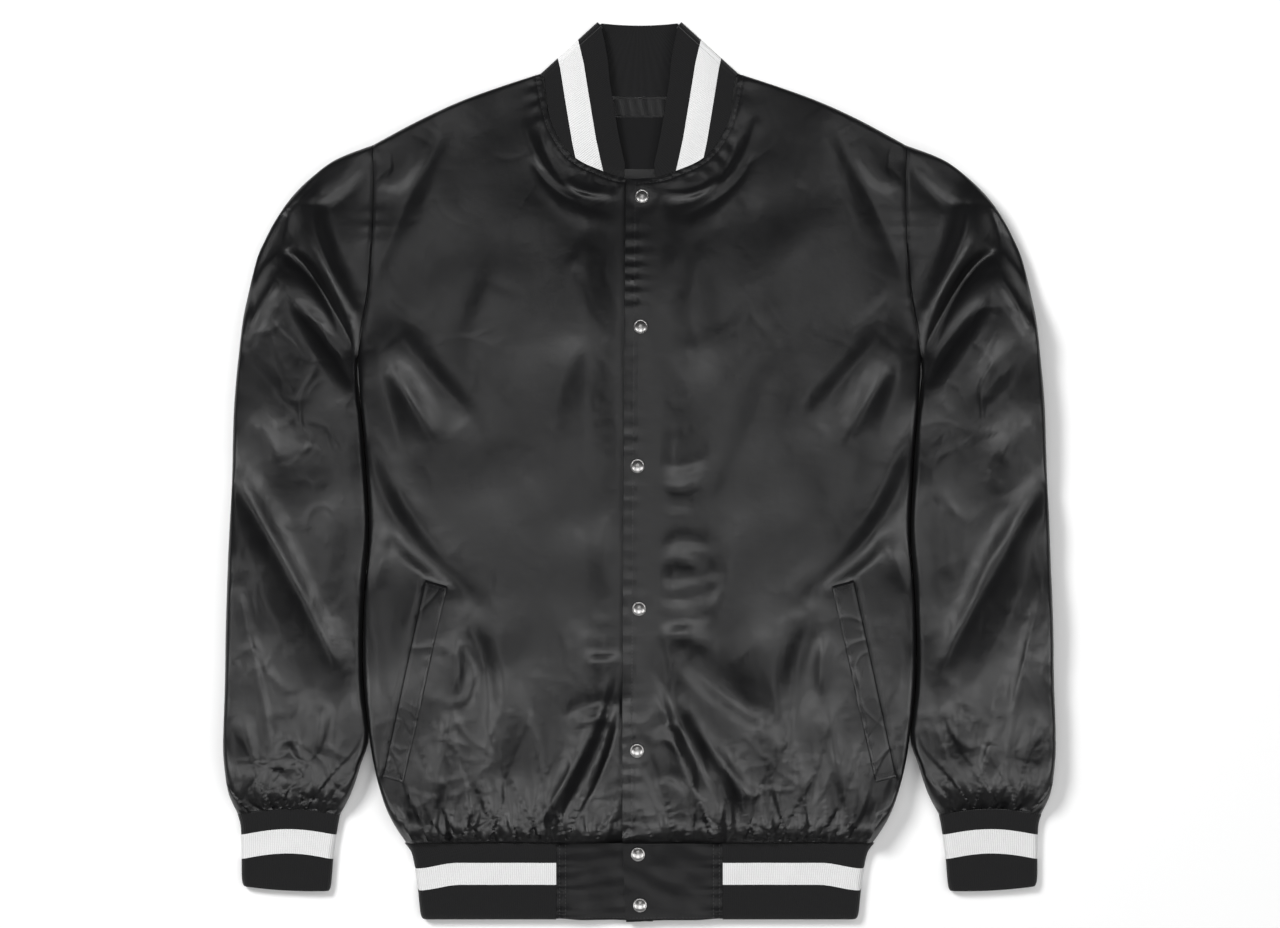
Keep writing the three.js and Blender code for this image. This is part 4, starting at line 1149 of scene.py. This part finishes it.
# %% [markdown]
# ## Materials
# Satin is woven with long floating threads, so it mirrors light softly. The knit and the label are matt. An
# image of each cloth could be wrapped on, but it would blur from close by. Here each cloth is a Principled
# shader with its weave as bump, which reads the shell's UVs, in millimetres.

# %% Materials
def node_tree(name, settings):
    """A new material, its nodes and links, and its shader with these settings."""
    material = bpy.data.materials.new(name)
    material.use_nodes = True
    nodes, links = material.node_tree.nodes, material.node_tree.links
    shader = nodes["Principled BSDF"]
    for socket, value in settings.items():
        shader.inputs[socket].default_value = value
    return material, nodes, links, shader


def math_node(nodes, links, operation, a, b=None):
    node = nodes.new("ShaderNodeMath")
    node.operation = operation
    for socket, value in zip(node.inputs, (a, b)):
        if value is None:
            continue
        if isinstance(value, (int, float)):
            socket.default_value = value
        else:
            links.new(value, socket)
    return node.outputs[0]


def wave(nodes, links, place, pitch):
    """A sine wave, one for each pitch in millimetres."""
    return math_node(nodes, links, "SINE", math_node(nodes, links, "MULTIPLY", place, 2 * math.pi / pitch))


def attribute(nodes, name):
    node = nodes.new("ShaderNodeAttribute")
    node.attribute_name = name
    return node.outputs["Fac"]


def ranged(nodes, links, value, *limits):
    """A value mapped from one range onto another. The limits are the first range's and the second's."""
    node = nodes.new("ShaderNodeMapRange")
    links.new(value, node.inputs["Value"])
    for name, limit in zip(("From Min", "From Max", "To Min", "To Max"), limits):
        node.inputs[name].default_value = limit
    return node.outputs["Result"]


def cloth_coordinates(nodes, links):
    """How far across and along the cloth, in millimetres."""
    uv = nodes.new("ShaderNodeUVMap")
    uv.uv_map = "cloth_mm"
    split = nodes.new("ShaderNodeSeparateXYZ")
    links.new(uv.outputs[0], split.inputs[0])
    return split.outputs[0], split.outputs[1]


def noise(nodes, links, vector, scale, detail=3):
    node = nodes.new("ShaderNodeTexNoise")
    node.inputs["Scale"].default_value = scale
    node.inputs["Detail"].default_value = detail
    links.new(vector, node.inputs["Vector"])
    return node.outputs[0]


def bump(nodes, links, height, distance, strength, after=None):
    node = nodes.new("ShaderNodeBump")
    node.inputs["Distance"].default_value = distance
    node.inputs["Strength"].default_value = strength
    links.new(height, node.inputs["Height"])
    if after:
        links.new(after, node.inputs["Normal"])
    return node.outputs[0]


TWILL_PITCH, RIB_PITCH, LOOP_PITCH, LABEL_PITCH = 0.7, 1.8, 1.4, 0.6


def satin():
    """Black satin. It mirrors less where it is seen at a glance, so that its edges stay dark."""
    material, nodes, links, shader = node_tree("satin", {
        "Base Color": (0.004, 0.004, 0.0044, 1),
        "Sheen Weight": 0.02,
        "Sheen Roughness": 0.4,
    })
    across, along = cloth_coordinates(nodes, links)
    place = nodes.new("ShaderNodeTexCoord").outputs["Object"]
    facing = nodes.new("ShaderNodeLayerWeight")
    facing.inputs["Blend"].default_value = 0.5
    steep = math_node(nodes, links, "POWER", facing.outputs["Facing"], 2)
    left = math_node(nodes, links, "SUBTRACT", 0.5, math_node(nodes, links, "MULTIPLY", steep, 0.46))
    mirrored_share = math_node(nodes, links, "MULTIPLY", attribute(nodes, "shine"), left)
    links.new(mirrored_share, shader.inputs["Specular IOR Level"])
    crumple = noise(nodes, links, place, 34, 3)
    fine = noise(nodes, links, place, 180, 2)
    thread_place = nodes.new("ShaderNodeCombineXYZ")
    links.new(math_node(nodes, links, "MULTIPLY", across, 0.08), thread_place.inputs["X"])
    links.new(math_node(nodes, links, "MULTIPLY", along, 0.6), thread_place.inputs["Y"])
    slub = noise(nodes, links, thread_place.outputs[0], 1, 2)
    dull = ranged(nodes, links, noise(nodes, links, place, 75, 4), 0.3, 0.7, 0.33, 0.43)
    links.new(dull, shader.inputs["Roughness"])
    twill = wave(nodes, links, math_node(nodes, links, "ADD", across, along), TWILL_PITCH)
    normal = bump(nodes, links, crumple, 0.0012, 0.35)
    normal = bump(nodes, links, fine, 0.0002, 0.4, normal)
    normal = bump(nodes, links, slub, 0.0001, 0.4, normal)
    normal = bump(nodes, links, twill, 0.00003, 0.25, normal)
    links.new(normal, shader.inputs["Normal"])
    return material


def rib_knit():
    """Black knit, white where the stripe's number is 0 to 1 on the outer face, and darker between the ribs as
    painted shade.
    """
    material, nodes, links, shader = node_tree("rib_knit", {
        "Roughness": 0.9,
        "Specular IOR Level": 0.25,
        "Sheen Weight": 0.12,
    })
    across, along = cloth_coordinates(nodes, links)
    from_middle = math_node(nodes, links, "SUBTRACT", attribute(nodes, "stripe"), 0.5)
    from_middle = math_node(nodes, links, "ABSOLUTE", from_middle)
    inside = math_node(nodes, links, "LESS_THAN", from_middle, 0.5)
    outside = math_node(nodes, links, "GREATER_THAN", attribute(nodes, "outer"), 0.5)
    white = math_node(nodes, links, "MULTIPLY", inside, outside)
    rib, loops = wave(nodes, links, across, RIB_PITCH), wave(nodes, links, along, LOOP_PITCH)
    # Painted shade: the knit's colour, black and white alike, is darkened in the grooves between the ribs.
    painted_rib_shade = ranged(nodes, links, rib, -1, 1, 0.86, 1)
    colour = nodes.new("ShaderNodeMix")
    colour.data_type = "RGBA"
    links.new(white, colour.inputs["Factor"])
    colour.inputs["A"].default_value = (0.009, 0.009, 0.0095, 1)
    colour.inputs["B"].default_value = (0.78, 0.78, 0.78, 1)
    rib_colour_with_painted_shade = nodes.new("ShaderNodeMix")
    rib_colour_with_painted_shade.data_type = "RGBA"
    rib_colour_with_painted_shade.blend_type = "MULTIPLY"
    rib_colour_with_painted_shade.inputs["Factor"].default_value = 1
    links.new(colour.outputs["Result"], rib_colour_with_painted_shade.inputs["A"])
    links.new(painted_rib_shade, rib_colour_with_painted_shade.inputs["B"])
    links.new(rib_colour_with_painted_shade.outputs["Result"], shader.inputs["Base Color"])
    normal = bump(nodes, links, rib, 0.00025, 0.6)
    normal = bump(nodes, links, loops, 0.0001, 0.4, normal)
    links.new(normal, shader.inputs["Normal"])
    return material


def plain_cloth():
    material, nodes, links, shader = node_tree("label_cloth", {
        "Base Color": (0.007, 0.007, 0.0075, 1),
        "Roughness": 0.8,
        "Specular IOR Level": 0.2,
    })
    waves = [wave(nodes, links, place, LABEL_PITCH) for place in cloth_coordinates(nodes, links)]
    weave = math_node(nodes, links, "MULTIPLY", *waves)
    links.new(bump(nodes, links, weave, 0.00005, 0.5), shader.inputs["Normal"])
    return material


def snap_metal():
    material, nodes, links, shader = node_tree("snap_metal", {
        "Base Color": (0.34, 0.335, 0.33, 1),
        "Metallic": 1,
    })
    place = nodes.new("ShaderNodeTexCoord").outputs["Object"]
    wear = ranged(nodes, links, noise(nodes, links, place, 900, 4), 0, 1, 0.2, 0.42)
    links.new(wear, shader.inputs["Roughness"])
    links.new(bump(nodes, links, noise(nodes, links, place, 1500, 2), 0.00005, 0.3), shader.inputs["Normal"])
    return material


SATIN, KNIT, LABEL, METAL = satin(), rib_knit(), plain_cloth(), snap_metal()

# %% [markdown]
# ## Stitches
# Topstitching is a row of short thread loops that sink a little into the cloth. A row could be drawn in the
# material, but from close by it would look flat. Here Geometry Nodes set one small rounded loop at each step
# along a guide line. The guide is laid on the finished cloth, so the thread follows its puckers.

# %% Thread
def thread():
    material, nodes, links, shader = node_tree("thread", {
        "Base Color": (0.016, 0.016, 0.017, 1),
        "Roughness": 0.4,
        "Sheen Weight": 0.1,
    })
    place = nodes.new("ShaderNodeTexCoord").outputs["Object"]
    links.new(bump(nodes, links, noise(nodes, links, place, 2600, 1), 0.00005, 0.5), shader.inputs["Normal"])
    return material


THREAD = thread()

# %% Stitch tree
def stitch_tree():
    """Sets loops of thread along a guide of mesh edges. Sizes are in metres."""
    tree = bpy.data.node_groups.new("stitches", "GeometryNodeTree")
    face = tree.interface
    face.new_socket("Geometry", in_out="INPUT", socket_type="NodeSocketGeometry")
    sizes = {
        name: face.new_socket(name, in_out="INPUT", socket_type="NodeSocketFloat")
        for name in ("Pitch", "Length", "Thickness")
    }
    face.new_socket("Geometry", in_out="OUTPUT", socket_type="NodeSocketGeometry")
    nodes, links = tree.nodes, tree.links
    start, end = nodes.new("NodeGroupInput"), nodes.new("NodeGroupOutput")
    curve = nodes.new("GeometryNodeMeshToCurve")
    spread = nodes.new("GeometryNodeResampleCurve")
    spread.mode = "LENGTH"
    loop = nodes.new("GeometryNodeMeshUVSphere")
    loop.inputs["Segments"].default_value = 6
    loop.inputs["Rings"].default_value = 4
    loop.inputs["Radius"].default_value = 0.5
    size = nodes.new("ShaderNodeCombineXYZ")
    tangent = nodes.new("GeometryNodeInputTangent")
    turn = nodes.new("FunctionNodeAlignRotationToVector")
    turn.axis = "X"
    place = nodes.new("GeometryNodeInstanceOnPoints")
    real = nodes.new("GeometryNodeRealizeInstances")
    finish = nodes.new("GeometryNodeSetMaterial")
    finish.inputs["Material"].default_value = THREAD
    links.new(start.outputs["Geometry"], curve.inputs[0])
    links.new(curve.outputs[0], spread.inputs["Curve"])
    links.new(start.outputs["Pitch"], spread.inputs["Length"])
    links.new(spread.outputs[0], place.inputs["Points"])
    links.new(loop.outputs["Mesh"], place.inputs["Instance"])
    links.new(tangent.outputs[0], turn.inputs["Vector"])
    links.new(turn.outputs[0], place.inputs["Rotation"])
    for axis, name in zip("XYZ", ("Length", "Thickness", "Thickness")):
        links.new(start.outputs[name], size.inputs[axis])
    links.new(size.outputs[0], place.inputs["Scale"])
    links.new(place.outputs[0], real.inputs[0])
    links.new(real.outputs[0], finish.inputs["Geometry"])
    links.new(finish.outputs[0], end.inputs[0])
    return tree, {name: socket.identifier for name, socket in sizes.items()}


STITCHES, STITCH_SOCKETS = stitch_tree()
STITCH_SIZES = {"Pitch": 0.003, "Length": 0.0023, "Thickness": 0.00055}

# %% Stitch rows
from mathutils import Vector
from mathutils.bvhtree import BVHTree


ABOVE_ALL, THREAD_LIFT = 0.1, 0.0001  # metres
NECK_STITCH = 4


def laid_on(cloth, line):
    """Points of a plan line, in millimetres, dropped onto the top of a piece."""
    corners = [v.co for v in cloth.data.vertices]
    tree = BVHTree.FromPolygons(corners, [tuple(f.vertices) for f in cloth.data.polygons])
    hits = [tree.ray_cast(Vector((x * MM, y * MM, ABOVE_ALL)), Vector((0, 0, -1)))[0] for x, y in line]
    return [hit + Vector((0, 0, THREAD_LIFT)) for hit in hits if hit]


def sewn(name, cloth, lines):
    """One object with the stitches of all the lines on one piece."""
    points, edges = [], []
    for line in lines:
        laid = laid_on(cloth, line)
        edges += [(len(points) + i, len(points) + i + 1) for i in range(len(laid) - 1)]
        points += laid
    mesh = bpy.data.meshes.new(name)
    mesh.from_pydata(points, edges, [])
    guide = placed(name, mesh)
    modifier = guide.modifiers.new("stitches", "NODES")
    modifier.node_group = STITCHES
    for size, value in STITCH_SIZES.items():
        modifier[STITCH_SOCKETS[size]] = value
    made = bpy.data.meshes.new_from_object(guide.evaluated_get(bpy.context.evaluated_depsgraph_get()))
    guide.modifiers.remove(modifier)
    guide.data = made
    print(name, "faces:", len(made.polygons))
    return guide


def row_line(inset, first, last, count=300):
    """A line on a front, this far in from its inner edge, between two rows."""
    row = np.linspace(first, last, count)
    line = np.stack(inner_at(row), 1)
    along = np.gradient(line, axis=0)
    out = np.stack([along[:, 1], -along[:, 0]], 1) / np.linalg.norm(along, axis=1, keepdims=True)
    return line + out * inset


def welt_lines():
    inner = [welt_point(0.17, t) for t in np.linspace(0.02, 0.98, 60)]
    ends = [[welt_point(u, t) for u in np.linspace(0.1, 0.9, 8)] for t in (0.012, 0.03, 0.97, 0.988)]
    return [inner] + ends


def tab_lines():
    down, across = np.linspace(HEM_SEAM_Y - 2, -381, 40), np.linspace(-8, TAB_END_X - 4, 40)
    return [[(TAB_END_X - seam, y) for y in down] for seam in TAB_STITCHES] + [[(x, -380) for x in across]]


def mirrored(lines, side):
    return [[(side * x, y) for x, y in line] for line in lines]


neck_row = row_line(NECK_STITCH, NECK_ROW + 0.25, TOP_ROW - 0.02)
placket_row = row_line(PLACKET_STITCH, 0.05, NECK_ROW - 0.1)
stitches = {
    "front_left": sewn("stitches_front_left", front_left, [neck_row, placket_row]),
    "front_right": sewn("stitches_front_right", front_right, mirrored([neck_row], -1)),
}
for side, end, cloth, flap in zip((1, -1), ("left", "right"), tabs, welts):
    stitches[f"hem_tab_{end}"] = sewn(f"stitches_tab_{end}", cloth, mirrored(tab_lines(), side))
    stitches[f"pocket_welt_{end}"] = sewn(f"stitches_welt_{end}", flap, mirrored(welt_lines(), side))

# %% [markdown]
# ## Join the pieces to the frame
# Each piece takes the place of its solid and rides on the jacket, with its stitches.

# %% Dress the frame
def dress(piece, node, material):
    """Gives a piece its material and hangs it and its stitches on the jacket's root, in place of its hidden
    solid.
    """
    piece.data.materials.append(material)
    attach(piece, "root")
    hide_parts(node)
    sewn_on = [stitches[node]] if node in stitches else []
    for seam in sewn_on:
        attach(seam, "root")


dress(front_left, "front_left", SATIN)
dress(front_right, "front_right", SATIN)
dress(back_cloth, "back", SATIN)
for piece, side in zip(sleeves, ("left", "right")):
    dress(piece, f"sleeve_{side}", SATIN)
for piece, side in zip(cuffs, ("left", "right")):
    dress(piece, f"cuff_{side}", KNIT)
for piece, side in zip(tabs, ("left", "right")):
    dress(piece, f"hem_tab_{side}", SATIN)
for piece, side in zip(welts, ("left", "right")):
    dress(piece, f"pocket_welt_{side}", SATIN)
dress(hem_knit, "hem_rib", KNIT)
dress(collar_knit, "collar", KNIT)
dress(neck_strip, "neck_strip", SATIN)
dress(neck_label, "neck_label", LABEL)
for i, piece in enumerate(snaps):
    dress(piece, f"snap_cap_{i + 1}", METAL)

# %% [markdown]
# ## Floor and light
# A photographer lights black satin with a few lamps that it mirrors, and keeps the rest of the room dark. With
# the same lamps for all, the pale floor stays white only while the satin turns grey. So the lamps are split:
# two light the floor and the knit and aren't mirrored, and four are only mirrored, in the satin and the metal.
# The satin is then dark where it lies flat and bright where a fold turns to a lamp.

# %% Floor and light
FLOOR_SIZE, SKY = 12, 0.06

bpy.ops.mesh.primitive_plane_add(size=FLOOR_SIZE)
floor = bpy.context.object
floor.name = "floor"
floor_looks = {"Base Color": (0.93, 0.93, 0.93, 1), "Roughness": 0.9, "Specular IOR Level": 0.1}
floor.data.materials.append(node_tree("floor", floor_looks)[0])

LIGHTS = [
    # name, place, size, power, and whether it is only mirrored
    ("key", (-1.9, 1.65, 2.8), 1.1, 118, False),
    ("room", (0.9, -0.4, 3.2), 4.5, 96, False),
    ("low", (0, -1.25, 2.35), 1.1, 20, True),
    ("middle", (0, 0.4, 2.9), 0.7, 6, True),
    ("left", (-1.6, -1.0, 2.0), 1.0, 21, True),
    ("right", (1.6, -1.0, 2.0), 1.0, 21, True),
]
for name, place, size, power, only_mirrored in LIGHTS:
    data = bpy.data.lights.new(name, "AREA")
    data.size = size
    data.energy = power
    light = placed(name, data)
    light.location = place
    light.rotation_euler = (-light.location).to_track_quat("-Z", "Y").to_euler()
    light.visible_glossy = only_mirrored
    light.visible_diffuse = not only_mirrored

world = bpy.data.worlds.new("world")
world.use_nodes = True
background = world.node_tree.nodes["Background"]
background.inputs["Color"].default_value = (1, 1, 1, 1)
background.inputs["Strength"].default_value = SKY
bpy.context.scene.world = world
bpy.context.scene.view_settings.view_transform = "Standard"
